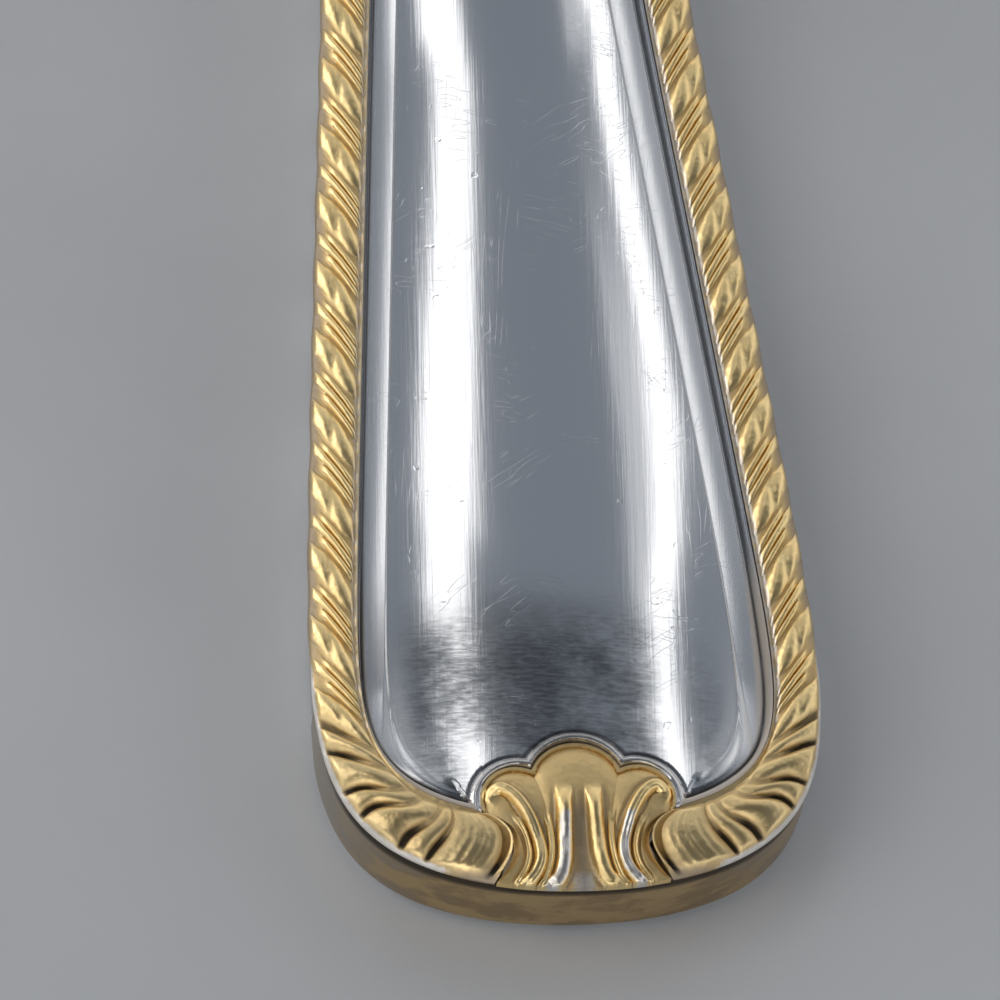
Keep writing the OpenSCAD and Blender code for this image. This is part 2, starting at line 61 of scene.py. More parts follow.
# Plan of the fork in millimetres. u is counted from the handle's end
plan = Values(
    length=(cadBox[1].y - cadBox[0].y) / mm,
    handleWide=22.0,
    widestAt=13.2,
    sideTaper=0.082,
    endRound=3.7,
    endPower=0.468,
    taperEnd=60.0,
    borderWide=2.25,
    borderTipWide=1.3,
    borderEnd=102.0,
    seamFrom=3.15,
    seamRound=2.3,
    neckWide=7.2,
    neckAt=120.0,
    shoulderAt=154.0,
    headWide=25.6,
    tipSpan=23.4,
    tipPower=1.5,
    flatLength=40.0,  # flat back that lies on the table
    archHigh=11.5,
    bellyAt=164.0,
    tipRise=12.0,
    ledgeHigh=3.9,  # height of the ledge that carries the gilding
    plateGap=0.05,  # gap between the gilding and the silver under it
)


def mix(a, b, t):
    return a + (b - a) * t


def ease(t):
    t = np.clip(t, 0, 1)
    return t * t * (3 - 2 * t)


def climb(x, span):  # from 0 to 1, from the span's start over its length, which is negative for a fall
    start, long = span
    return ease((x - start) / long)


def bump(t):  # 1 at t = 0, falling off like a bell
    return np.exp(-t * t)


def arched(away, half):  # rounded back, 1 in its middle and 0 from its half width on
    return np.sqrt(np.maximum(0, 1 - (away / half) ** 2))


def wave(t):  # 1 at whole numbers and 0 half way between them
    return 0.5 + 0.5 * np.cos(2 * math.pi * t)


def unit(v):
    return v / np.maximum(np.linalg.norm(v, axis=-1, keepdims=True), 1e-9)


def cubicBend(a, slopeA, b, slopeB, span, t):
    rise = (2 * t**3 - 3 * t**2 + 1) * a + (3 * t**2 - 2 * t**3) * b
    return rise + span * ((t**3 - 2 * t**2 + t) * slopeA + (t**3 - t**2) * slopeB)


def sideLine(u):
    p = plan
    taper = p.handleWide / 2 + p.sideTaper * (p.widestAt - u)
    atBend = p.handleWide / 2 + p.sideTaper * (p.widestAt - p.taperEnd)
    bendSpan = p.neckAt - p.taperEnd
    t = np.clip((u - p.taperEnd) / bendSpan, 0, 1)
    shank = cubicBend(atBend, -p.sideTaper, p.neckWide / 2, 0, bendSpan, t)
    grow = ease((u - p.neckAt) / (p.shoulderAt - p.neckAt))
    head = mix(p.neckWide, p.headWide, grow) / 2
    out = np.clip((u - p.shoulderAt) / (p.length - p.shoulderAt), 0, 1)
    tips = mix(p.headWide, p.tipSpan, out**p.tipPower) / 2
    ends = [u <= p.taperEnd, u <= p.neckAt, u <= p.shoulderAt]
    return np.select(ends, [taper, shank, head], tips)


def endFactor(d, reach):
    return (1 - np.exp(-np.maximum(d, 0) / reach)) ** plan.endPower


def halfWide(u):
    return sideLine(u) * endFactor(u, plan.endRound)


def borderAt(u):
    run = (u - plan.taperEnd) / (plan.borderEnd - plan.taperEnd)
    return mix(plan.borderWide, plan.borderTipWide, ease(run))


def seamHalf(u):
    return (sideLine(u) - borderAt(u)) * endFactor(u - plan.seamFrom, plan.seamRound)


def underside(u):
    p = plan
    up = p.archHigh * ease((u - p.flatLength) / (p.neckAt - p.flatLength))
    down = p.archHigh * (1 - ease((u - p.neckAt) / (p.bellyAt - p.neckAt)))
    tips = p.tipRise * np.maximum((u - p.bellyAt) / (p.length - p.bellyAt), 0) ** 2
    return np.select([u <= p.neckAt, u <= p.bellyAt], [up, down], tips)


class Line:  # a curve in plan, read by the length along it
    def __init__(self, points):
        self.points = np.asarray(points, float)
        steps = np.linalg.norm(np.diff(self.points, axis=0), axis=1)
        self.run = np.concatenate([[0], np.cumsum(steps)])
        self.total = self.run[-1]

    def at(self, s):
        return np.stack([np.interp(s, self.run, self.points[:, k]) for k in (0, 1)], -1)

    def reach(self, u):  # length at which a line with growing u comes to u
        return np.interp(u, self.points[:, 1], self.run)

    def distance(self, spots, chunk=400):  # to the nearest point, and the length along the line there
        far = np.empty(len(spots))
        run = np.empty(len(spots))
        for i in range(0, len(spots), chunk):
            gaps = np.linalg.norm(spots[i : i + chunk, None] - self.points[None], axis=2)
            near = gaps.argmin(1)
            far[i : i + chunk] = gaps[np.arange(len(near)), near]
            run[i : i + chunk] = self.run[near]
        return far, run


def smoothLine(knots, count=160):  # a smooth curve through a few points
    knots = np.asarray(knots, float)
    padded = np.vstack([2 * knots[0] - knots[1], knots, 2 * knots[-1] - knots[-2]])
    t = np.linspace(0, len(knots) - 1, count)
    k = np.minimum(t.astype(int), len(knots) - 2)
    f = (t - k)[:, None]
    a, b, c, d = (padded[k + i] for i in range(4))
    square, cube = 2 * a - 5 * b + 4 * c - d, 3 * b - a - 3 * c + d
    return Line(0.5 * (2 * b + (c - a) * f + square * f**2 + cube * f**3))


endZone = 14.0  # the end rounds off up to here
endSteps, sideSteps = 1400, 900  # points along an outline
endPacking = 2.5
fine = np.linspace(0, 1, endSteps) ** endPacking
straightRun = np.linspace(endZone, plan.borderEnd, sideSteps)[1:]
rimStations = np.concatenate([endZone * fine, straightRun])
rim = Line(np.stack([halfWide(rimStations), rimStations], -1))

# Hoods of the shell: a middle dome between two side hoods
hood = Values(
    domeRound=2.05, domeAt=4.65, domeSteps=120,
    sideRound=1.6, sideOut=2.6, sideAt=4.0, sideStop=-20.0, sideSteps=160,
    seamPast=0.1,  # from the hoods to the seam beside the border
)


def hoodOutline():
    h = hood
    middle = np.array([0, h.domeAt])
    side = np.array([h.sideOut, h.sideAt])
    gap = np.linalg.norm(side - middle)
    way = (side - middle) / gap
    share = (h.domeRound**2 - h.sideRound**2 + gap**2) / (2 * gap)
    across = np.array([-way[1], way[0]])
    meet = middle + share * way + math.sqrt(h.domeRound**2 - share**2) * across
    domeStop = math.atan2(meet[1] - middle[1], meet[0] - middle[0])
    sideStart = math.atan2(meet[1] - side[1], meet[0] - side[0])
    a = np.linspace(math.pi / 2, domeStop, h.domeSteps)[:-1]
    b = np.linspace(sideStart, math.radians(h.sideStop), h.sideSteps)
    dome = middle + h.domeRound * np.stack([np.cos(a), np.sin(a)], -1)
    wing = side + h.sideRound * np.stack([np.cos(b), np.sin(b)], -1)
    return np.vstack([dome, wing])


hoodPoints = hoodOutline()
seamReach = hoodPoints[-1, 0] / (sideLine(np.array(plan.seamFrom)) - plan.borderWide)
seamStart = plan.seamFrom - plan.seamRound * math.log(1 - seamReach ** (1 / plan.endPower))
seamStart += hood.seamPast
seamStations = np.concatenate([mix(seamStart, endZone, fine), straightRun])
seam = Line(np.stack([seamHalf(seamStations), seamStations], -1))
hoodLine = Line(np.vstack([hoodPoints, seam.points[:1]]))
inner = Line(np.vstack([hoodPoints, seam.points]))
innerEnd = hoodLine.total + seam.reach(endZone)
print("outlines drawn: rim", round(rim.total, 1), "mm, inner line", round(inner.total, 1), "mm")


# Meshes

def placed(points):  # [x, u, height] to the part's frame, in metres
    spots = np.array(points, float)
    u = spots[:, 1].copy()
    spots[:, 1] = u - plan.length / 2
    spots[:, 2] += underside(u)
    return spots * mm


def gridQuads(rows, cols, closed=False):  # quads over a grid whose points are counted row by row
    r = np.arange(rows - 1)[:, None] * cols
    c = np.arange(cols if closed else cols - 1)[None]
    n = (c + 1) % cols
    quads = np.broadcast_arrays(r + c, r + n, r + cols + n, r + cols + c)
    return np.stack(quads, -1).reshape(-1, 4).tolist()


def raised(spots, high):  # plan points with their heights
    return np.concatenate([spots, high[..., None]], -1)


def mirroredHalf(points, faces, other=None):  # adds the left half, sharing the points on the middle line
    points = np.asarray(points, float)
    onMiddle = np.abs(points[:, 0]) < 1e-7
    twin = np.arange(len(points))
    twin[~onMiddle] = len(points) + np.arange((~onMiddle).sum())
    left = (points if other is None else other)[~onMiddle] * [-1, 1, 1]
    leftFaces = [[int(twin[i]) for i in face[::-1]] for face in faces]
    return np.vstack([points, left]), faces + leftFaces, onMiddle


def addObject(name, data):
    made = bpy.data.objects.new(name, data)
    bpy.context.scene.collection.objects.link(made)
    return made


weldGap = 4e-7  # points closer than this, in metres, become one


def makePiece(name, points, faces, node, finish, marks, crease):
    mesh = bpy.data.meshes.new(name)
    mesh.from_pydata(placed(points).tolist(), [], faces)
    for mark, values in marks.items():  # one number a point, for the finishes
        held = mesh.attributes.new(mark, "FLOAT", "POINT")
        held.data.foreach_set("value", np.ravel(values).astype(np.float32))
    cleaner = bmesh.new()
    cleaner.from_mesh(mesh)
    bmesh.ops.remove_doubles(cleaner, verts=cleaner.verts, dist=weldGap)
    bmesh.ops.dissolve_degenerate(cleaner, edges=cleaner.edges, dist=weldGap / 2)
    bmesh.ops.recalc_face_normals(cleaner, faces=cleaner.faces)
    cleaner.to_mesh(mesh)
    cleaner.free()
    mesh.shade_smooth()
    mesh.set_sharp_from_angle(angle=math.radians(crease))
    mesh.materials.append(finish)
    piece = addObject(name, mesh)
    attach(piece, "root")
    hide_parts(node)
    print(name, "built:", len(mesh.polygons), "faces")


# Shader maths

class Wire:  # a socket that takes part in Python expressions
    def __init__(self, sheet, socket):
        self.sheet = sheet
        self.socket = socket

    def maths(self, operation, first, second=0.0):
        return self.sheet.node("ShaderNodeMath", dict(operation=operation), {0: first, 1: second})

    def __add__(self, other):
        return self.maths("ADD", self, other)

    def __radd__(self, other):
        return self.maths("ADD", other, self)

    def __sub__(self, other):
        return self.maths("SUBTRACT", self, other)

    def __rsub__(self, other):
        return self.maths("SUBTRACT", other, self)

    def __mul__(self, other):
        return self.maths("MULTIPLY", self, other)

    def __rmul__(self, other):
        return self.maths("MULTIPLY", other, self)

    def __abs__(self):
        return self.maths("ABSOLUTE", self)


hairPatch = Values(shift=(31, 7, 3), low=0.54, full=0.68)  # the scratches gather in patches


class Sheet:  # a node tree being written
    def __init__(self, tree):
        self.tree = tree
        tree.nodes.clear()

    def node(self, kind, settings=None, sockets=None, output=0):
        made = self.tree.nodes.new(kind)
        for name, value in (settings or {}).items():
            setattr(made, name, value)
        for name, value in (sockets or {}).items():
            if isinstance(value, Wire):
                self.tree.links.new(value.socket, made.inputs[name])
            else:
                made.inputs[name].default_value = value
        return Wire(self, made.outputs[output]) if made.outputs else made

    def millimetres(self):
        spot = self.node("ShaderNodeTexCoord", output="Object")
        return self.node("ShaderNodeVectorMath", dict(operation="SCALE"), {0: spot, "Scale": 1 / mm})

    def mapped(self, spot, scale=(1, 1, 1), turn=0.0, shift=(0, 0, 0)):
        turned = self.node("ShaderNodeMapping", dict(vector_type="POINT"),
                           {"Vector": spot, "Rotation": (0, 0, math.radians(turn)), "Location": shift})
        return self.node("ShaderNodeVectorMath", dict(operation="MULTIPLY"), {0: turned, 1: scale})

    def noise(self, spot, scale, detail=2.0, rough=0.5):
        sockets = {"Vector": spot, "Scale": scale, "Detail": detail, "Roughness": rough}
        return self.node("ShaderNodeTexNoise", {}, sockets)

    def ramp(self, value, low, high):  # 0 at low and 1 at high, smooth between
        settings = dict(interpolation_type="SMOOTHSTEP")
        return self.node("ShaderNodeMapRange", settings, {0: value, 1: low, 2: high})

    def dot(self, first, second):
        settings = dict(operation="DOT_PRODUCT")
        return self.node("ShaderNodeVectorMath", settings, {0: first, 1: second}, "Value")

    def mark(self, name):
        return self.node("ShaderNodeAttribute", dict(attribute_name=name), output="Fac")

    def blend(self, share, first, second):
        settings = dict(data_type="RGBA")
        return self.node("ShaderNodeMix", settings, {0: share, 6: first, 7: second}, output=2)

    def hairlines(self, spot, turn, along, across, thin, keep):  # fine scratches lying one way
        field = self.noise(self.mapped(spot, (across, along, across), turn), 1.0, 1.0)
        lines = 1 - self.ramp(abs(field - 0.5), 0.0, thin)
        patches = self.noise(self.mapped(spot, (1, 1, 1), turn, hairPatch.shift), keep)
        return lines * self.ramp(patches, hairPatch.low, hairPatch.full)


def newMaterial(name, shown):
    made = bpy.data.materials.new(name)
    made.use_nodes = True
    made.diffuse_color = shown
    return made, Sheet(made.node_tree)


def closeMaterial(sheet, colour, rough, metal, height, lift):
    relief = sheet.node("ShaderNodeBump", {}, {"Height": height, "Distance": lift, "Strength": 1.0})
    sockets = {"Base Color": colour, "Roughness": rough, "Metallic": metal, "Normal": relief}
    surface = sheet.node("ShaderNodeBsdfPrincipled", {}, sockets)
    sheet.node("ShaderNodeOutputMaterial", {}, {"Surface": surface})


silverLook = Values(
    bright=(0.80, 0.815, 0.84, 1),
    tarnish=(0.17, 0.185, 0.205, 1),
    flush=(0.66, 0.59, 0.52, 1),  # painted reflection: warm glow of the gilding on the silver beside it
    wall=(0.30, 0.29, 0.28, 1),
    # near black for the moulding's dark lines: grime with painted shade in the groove, painted shade on
    # the seam strip and at the bead's step
    grime=(0.035, 0.034, 0.036, 1),
    hairs=(  # turn, scale along and across, thinness, scale of the patches, strength
        (7, 0.12, 2.2, 0.007, 0.3, 0.4),
        (58, 0.3, 2.0, 0.006, 0.22, 0.7),
        (-74, 0.5, 2.6, 0.008, 0.35, 1.0),
    ),
    stained=0.9, streaked=0.4, clouded=0.5, stainLow=0.15,
    wallPatchy=0.4, wallLow=0.35,
    flushDull=0.7,
    rough=0.075, brushRough=0.05, scratchRough=0.06, stainRough=0.1,
    wallRough=0.22, grimeRough=0.3, flushRough=0.3, hazeRough=0.17,
    lift=0.0000035,  # height of the finest marks, in metres, and each mark's share of it
    brushHigh=0.5, scratchHigh=0.35, blotchHigh=0.5, pitHigh=0.5,
)


def silverFinish():
    look = silverLook
    made, sheet = newMaterial("polishedSilver", look.bright)
    spot = sheet.millimetres()
    names = ("rubbed", "grooveGrimeAndShade", "dull", "paintedGoldGlow", "hazy")
    rubbed, grooveGrimeAndShade, dull, paintedGoldGlow, hazy = (sheet.mark(name) for name in names)
    brushed = sheet.noise(sheet.mapped(spot, (6.0, 0.16, 2.0), 3), 1.0, 3.0, 0.6)
    scratches = sum(sheet.hairlines(spot, *lie) * strength for *lie, strength in look.hairs)
    blotches = sheet.noise(sheet.mapped(spot, (1.6, 7.5, 2.0), 4), 1.0, 4.0, 0.65)
    cloudy = sheet.noise(spot, 0.55, 3.0, 0.6)
    stains = sheet.ramp(blotches, 0.36, 0.66) * look.streaked
    stains += sheet.ramp(cloudy, 0.32, 0.62) * look.clouded
    stains = (stains + look.stainLow) * rubbed
    pits = sheet.ramp(sheet.noise(spot, 1.6), 0.70, 0.78)
    skin = sheet.blend(stains * look.stained, look.bright, look.tarnish)
    # painted reflection of the gilding, warm on the silver beside it
    skin = sheet.blend(paintedGoldGlow, skin, look.flush)
    smudges = sheet.ramp(sheet.noise(spot, 0.35, 4.0), 0.3, 0.75)
    walls = dull * (smudges * look.wallPatchy + look.wallLow)
    skin = sheet.blend(walls, skin, look.wall)
    # dark lines of the moulding: grime with painted shade in the groove, painted shade on the seam strip
    # and at the bead's step
    skin = sheet.blend(grooveGrimeAndShade, skin, look.grime)
    rough = look.rough + brushed * look.brushRough + scratches * look.scratchRough
    rough += stains * look.stainRough + dull * look.wallRough + grooveGrimeAndShade * look.grimeRough
    rough += paintedGoldGlow * look.flushRough + hazy * look.hazeRough
    height = brushed * look.brushHigh - scratches * look.scratchHigh
    height += blotches * rubbed * look.blotchHigh - pits * look.pitHigh
    closeMaterial(sheet, skin, rough, 1 - paintedGoldGlow * look.flushDull, height, look.lift)
    return made


goldLook = Values(
    bright=(1.0, 0.78, 0.39, 1),
    deep=(0.98, 0.69, 0.30, 1),
    grime=(0.50, 0.37, 0.20, 1),
    silver=(0.86, 0.83, 0.79, 1),
    soil=(0.32, 0.275, 0.245, 1),
    # near black for the painted shade in the slits between the corner leaves
    black=(0.04, 0.032, 0.025, 1),
    sunk=0.52,  # share of the grime in the hollows
    deepened=0.5, patched=0.25, grained=0.7,
    rough=0.30, grainRough=0.1, sunkRough=0.25,
    lift=0.000006, patchHigh=1.5, chasedHigh=9.0, nickHigh=0.7,
)


def goldFinish():
    look = goldLook
    made, sheet = newMaterial("wornGilding", look.bright)
    spot = sheet.millimetres()
    relief = sheet.mark("relief")
    bare = sheet.mark("bare")
    patchy = sheet.noise(spot, 0.9, 4.0, 0.6)
    grainy = sheet.noise(spot, 5.0, 3.0, 0.6)
    sunk = 1 - sheet.ramp(relief + (patchy - 0.5) * look.patched, 0.05, 0.45)
    skin = sheet.blend(sheet.ramp(patchy, 0.3, 0.7) * look.deepened, look.bright, look.deep)
    skin = sheet.blend(sunk * look.sunk, skin, look.grime)
    worn = sheet.ramp(bare + (grainy - 0.5) * look.grained, 0.35, 0.75)
    skin = sheet.blend(worn, skin, look.silver)
    skin = sheet.blend(sheet.mark("soiled"), skin, look.soil)
    # painted shade: the slits between the corner leaves are coloured near black
    skin = sheet.blend(sheet.mark("paintedSlitShade"), skin, look.black)
    rough = look.rough + grainy * look.grainRough + sunk * look.sunkRough
    nicks = sheet.hairlines(spot, 52, 0.8, 3.0, 0.02, 0.8)
    chased = sheet.noise(spot, 2.1, 1.5, 0.45)  # tool marks
    height = grainy + patchy * look.patchHigh + chased * look.chasedHigh - nicks * look.nickHigh
    closeMaterial(sheet, skin, rough, 1.0, height, look.lift)
    return made


bandLook = Values(
    gilt=(0.53, 0.39, 0.21, 1),
    brown=(0.36, 0.26, 0.145, 1),
    silver=(0.42, 0.38, 0.33, 1),
    # dark is the colour of the painted shadow under the border's lip
    dark=(0.045, 0.036, 0.03, 1),
    smeared=0.8, lined=0.92,
    rough=0.38, grainRough=0.12,
    lift=0.00001, smearHigh=1.5,
)


def bandFinish():
    look = bandLook
    made, sheet = newMaterial("rubbedGilding", look.gilt)
    spot = sheet.millimetres()
    faded = sheet.mark("faded")
    smears = sheet.noise(sheet.mapped(spot, (0.4, 0.4, 0.9)), 1.0, 4.0, 0.6)
    grainy = sheet.noise(spot, 4.0, 3.0, 0.6)
    skin = sheet.blend(sheet.ramp(smears, 0.42, 0.62), look.gilt, look.brown)
    skin = sheet.blend(sheet.ramp(faded + (smears - 0.5) * look.smeared, 0.25, 0.75), skin, look.silver)
    # painted shadow under the border's lip, along the band's top
    skin = sheet.blend(sheet.mark("lined") * look.lined, skin, look.dark)
    rough = look.rough + grainy * look.grainRough
    height = grainy + smears * look.smearHigh
    closeMaterial(sheet, skin, rough, 1.0, height, look.lift)
    return made


# Silver body: handle with its panel, shank, head and tines

body = Values(
    wallSet=0.35,  # the wall stands back under the border's lip
    footBevel=0.9, footBevelHigh=0.5,
    seamHigh=0.76,  # silver wall beside the gilding
    cornerGroove=0.42, notchDeep=0.08, notchWide=0.07,
    beadEndEdge=0.64,  # the bead round the corners ends here
    cornerTo=(1.5, 7.0),  # pairs say where a change starts and how long it takes
    beadHigh=0.483,
    beadLean=0.136, beadBow=0.06,  # the bead falls outward at this slope, steeper and steeper
    cornerBead=0.035, cornerBeadHalf=0.14,
    browHigh=0.1, browHalf=0.16,  # raised rim round the shell's hoods
    browRise=0.096, browNotch=0.04,
    hoodTo=(-0.4, 0.8),
    stepWide=0.07,
    flankWide=0.6,  # inner flank of the bead where the panel sinks
    sidePower=1.4, cornerPower=6.0,  # how the groove's outer wall curves
    panelEdge=0.51, panelSlack=0.1,
    crownIn=1.52,  # from the gilding to where the crown begins
    crownSlope=0.1,  # crown's height as a share of its half width
    crownFrom=7.9, crownRound=1.5,
    endTight=0.3, endTightTo=(6.5, 15.0),  # the crown bows more near the end
    endFall=0.32, endFallTo=(5.5, 11.0),  # and bends down towards the shell
    rubbedFrom=(3.4, 1.2), rubbedTo=(14.5, -4.0),  # patch of panel that lies dull from handling
    rubbedAt=-1.6, rubbedHalf=6.0, rubbedSideSoft=1.6,
    clearAt=-4.05, clearHalf=0.75, clearTo=(7.8, -1.5),  # a clear spot in it beside the shell
    faint=0.55, faintAt=5.7, faintHalf=0.85,  # a fainter patch towards the other corner
    faintFrom=(3.0, 2.0), faintTo=(13.0, -4.0),
    flushTo=(17.0, -4.0), flushIn=0.9, flushByHoods=0.25,  # painted reflection: the silver beside the gilding takes its warm glow
    hoodMarksTo=(-0.5, 0.6),
    grimed=0.97, grimedBySides=0.67, grimedByHoods=0.55,  # dark line in the groove: grime with painted shade
    grimeIn=0.02, grimeHalf=0.09,
    # painted shade on the strip between the gilding and the groove
    stripGrime=0.2,
    edgeGrime=0.4, edgeGrimeIn=0.06, edgeGrimeHalf=0.05,  # fainter line of painted shade inside the bead
    grimeSoft=10.0,
    hazeIn=(2.4, -0.8), hazeFrom=(1.0, 1.5), hazeTo=(5.0, 8.0),  # haze round the corners
    beadHaze=0.5, beadHazeSoft=0.2,
    neckThick=4.2, headThick=2.6, tipThick=1.5,
    neckEdge=3.0, headEdge=9.0, tineEdge=4.0,  # powers of the rounded edges
    edgeFlat=0.9,  # leaves a narrow upright wall between the rounded edges
    rootAt=152.0,
    fadeLong=8.0,
    dishHigh=0.9,
    tines=4, tineWide=3.8, tineTipWide=2.2,
    pointLong=4.0, pointPower=2.2, pointThick=0.45, pointEase=1.6,
    pointLeast=0.004,  # so that a point never closes to nothing
    endRows=218, sideRows=91, fadeRows=17, plainRows=41,  # rows of points along the fork
    slotRows=13, tineRows=40, pointRows=15,
    crease=50,  # edges sharper than this, in degrees, aren't smoothed
)
moulding = Values(  # groove and inner edge of the bead, counted from the gilding
    right=Values(groove=0.22, bead=1.42),
    left=Values(groove=0.14, bead=1.17),
)
crownCols, mouldCols, seamCols, ledgeCols = 26, 58, 3, 4  # columns across half the top
topCols = crownCols + mouldCols + seamCols + ledgeCols
wallCols, bevelCols, footCols = 6, 6, 9
splitCol = 34  # column of the slot between the two right tines
footSplit = 4
rootCols = 5  # points down the root of a slot
packing = 1.7  # the columns crowd towards the edges
farOff = 9.0  # stands for the distance where none is measured
nearReach = 5.0  # the end measures to the inner line this far past its zone


def panelStop(u, side):  # half width inside the bead, along the sides
    return sideLine(u) - borderAt(u) - moulding[side].bead - body.stepWide


def crownHalf(u, side):
    return panelStop(u, side) * endFactor(u - body.crownFrom, body.crownRound)


def crownLine(side):
    u = np.concatenate([mix(body.crownFrom, endZone, fine), straightRun])
    return Line(np.stack([crownHalf(u, side), u], -1))


def crownRise(x, u, side):  # the panel's crown, and the level of the moulding round it
    b = body
    wide = np.maximum(sideLine(u) - borderAt(u) - b.crownIn, 1)
    stop = panelStop(u, side)
    share = np.minimum(np.abs(x), stop) / wide
    tight = 1 + b.endTight * (1 - climb(u, b.endTightTo))
    fall = b.endFall * (1 - climb(u, b.endFallTo))
    high = b.crownSlope * wide
    return high * (1 - tight * share**2) - fall, high * (1 - (stop / wide) ** 2)


def straightShare(run):  # 0 round the corners and 1 along the sides
    return climb(run - hoodLine.total, body.cornerTo)


def grooveAt(run, side):
    return mix(body.cornerGroove, moulding[side].groove, straightShare(run))


def panelHeight(x, u, d, run, side):  # top of the silver at a distance from the gilding
    b = body
    rise, rest = crownRise(x, u, side)
    straight = straightShare(run)
    rest = mix(rest, rise, straight)
    onHood = 1 - climb(run - hoodLine.total, b.hoodTo)
    groove = grooveAt(run, side)
    beadEdge = mix(b.beadEndEdge, moulding[side].bead, straight)
    inward = np.maximum(beadEdge - d, 0)
    beadLong = beadEdge - groove
    within = b.beadHigh - b.beadLean * inward - b.beadBow * inward**2
    low = b.beadHigh - b.beadLean * beadLong - b.beadBow * beadLong**2
    sunk = np.clip((rest - rise) / b.endFall, 0, 1)
    step = b.stepWide + b.flankWide * np.maximum(sunk, 1 - straight)
    beyond = mix(b.beadHigh + rest, b.panelEdge + rise, ease((d - beadEdge) / step))
    level = np.where(d < beadEdge, within + rest, beyond)
    level += b.cornerBead * (1 - straight) * bump((d - beadEdge) / b.cornerBeadHalf)
    outward = np.sin(np.clip(d / groove, 0, 1) * math.pi / 2)
    outward = outward ** mix(b.cornerPower, b.sidePower, straight)
    moulded = np.where(d < groove, mix(b.seamHigh, low + rest, outward), level)
    moulded -= b.notchDeep * bump((d - groove) / b.notchWide)
    brow = b.panelEdge + rise + b.browHigh * arched(d - b.browHalf, b.browHalf)
    brow = mix(b.seamHigh, brow, ease(d / b.browRise))
    brow -= b.browNotch * bump((d - 2 * b.browHalf - b.notchWide) / b.notchWide)
    return mix(moulded, brow, onHood)


def handleHalf(rimP, seamP, crownP, distance, side):
    b = body
    rows = len(rimP)
    outDir = unit(rimP - seamP)
    inShare = 1 - (1 - np.linspace(0, 1, crownCols, endpoint=False)) ** packing
    mouldShare = np.linspace(0, 1, mouldCols)
    crownPart = crownP[:, None] * np.stack([inShare, np.ones(crownCols)], -1)[None]
    mouldPart = crownP[:, None] + (seamP - crownP)[:, None] * mouldShare[None, :, None]
    top = np.concatenate([crownPart, mouldPart], 1)
    x, u = top[..., 0].ravel(), top[..., 1].ravel()
    far, run = distance(x, u)
    heights = panelHeight(x, u, far, run, side).reshape(rows, -1)
    wallP = rimP - outDir * b.wallSet
    seamDrop = np.linspace(1, 0, seamCols + 1)[1:]
    ledgeShare = np.linspace(0, 1, ledgeCols + 1)[1:]
    seamPart = np.repeat(seamP[:, None], seamCols, 1)
    ledgePart = seamP[:, None] + (wallP - seamP)[:, None] * ledgeShare[None, :, None]
    top = np.concatenate([top, seamPart, ledgePart], 1)
    lows = np.concatenate([heights[:, -1:] * seamDrop[None], np.zeros((rows, ledgeCols))], 1)
    topHigh = plan.ledgeHigh + np.concatenate([heights, lows], 1)
    wallPart = np.repeat(wallP[:, None], wallCols, 1)
    wallHigh = np.linspace(plan.ledgeHigh, b.footBevelHigh, wallCols + 1)[1:]
    turn = np.linspace(0, math.pi / 2, bevelCols + 1)[1:]
    bevelIn = b.footBevel * (1 - np.cos(turn))
    bevelPart = wallP[:, None] - outDir[:, None] * bevelIn[None, :, None]
    bevelHigh = b.footBevelHigh * (1 - np.sin(turn))
    footShare = np.linspace(1, 0, footCols + 1)[1:]
    footPart = bevelPart[:, -1:] * np.stack([footShare, np.ones(footCols)], -1)[None]
    spots = np.concatenate([top, wallPart, bevelPart, footPart], 1)
    lowHigh = np.concatenate([wallHigh, bevelHigh, np.zeros(footCols)])
    high = np.concatenate([topHigh, np.repeat(lowHigh[None], rows, 0)], 1)
    return raised(spots, high), far.reshape(rows, -1), run.reshape(rows, -1)


def endDistance(x, u):  # distance from the gilding and run along its inner line
    near = Line(inner.points[inner.points[:, 1] < endZone + nearReach])
    return near.distance(np.stack([np.abs(x), u], -1))


def sideDistance(x, u):
    step = 0.05
    slope = (seamHalf(u + step) - seamHalf(u - step)) / (2 * step)
    return (seamHalf(u) - np.abs(x)) / np.sqrt(1 + slope**2), np.full(len(x), inner.total)


def headShare(u):  # 0 at the neck and 1 at the roots of the tines
    return ease((u - plan.neckAt) / (body.rootAt - plan.neckAt))


def tineShare(u):  # 0 at the roots and 1 at the tips
    return (u - body.rootAt) / (plan.length - body.rootAt)


def thickAt(u):
    neck = mix(body.neckThick, body.headThick, headShare(u))
    return np.where(u < body.rootAt, neck, mix(body.headThick, body.tipThick, tineShare(u)))


def dishAt(u):
    return body.dishHigh * headShare(u)


def edgePower(u):
    return mix(body.neckEdge, body.headEdge, headShare(u))


def tineWide(u):
    return mix(body.tineWide, body.tineTipWide, tineShare(u))


def tinePitch(u):
    return (2 * halfWide(u) - tineWide(u)) / (body.tines - 1)


rootPitch = float(tinePitch(np.array(body.rootAt)))
gapShare = rootPitch / float(halfWide(np.array(body.rootAt)))  # place of the slot between the right tines
slotRound = (rootPitch - body.tineWide) / 2


def roundedEdge(share, power):
    return np.sqrt(1 - body.edgeFlat * np.abs(share) ** power)


def topShares():
    low = np.linspace(0, gapShare, splitCol + 1)
    high = mix(gapShare, 1, 1 - (1 - np.linspace(0, 1, topCols - splitCol)) ** packing)
    return np.concatenate([low, high[1:]])


def footShares():
    outer = np.linspace(1, gapShare, footSplit + 1)
    return np.concatenate([outer, np.linspace(gapShare, 0, footCols - footSplit)[1:]])


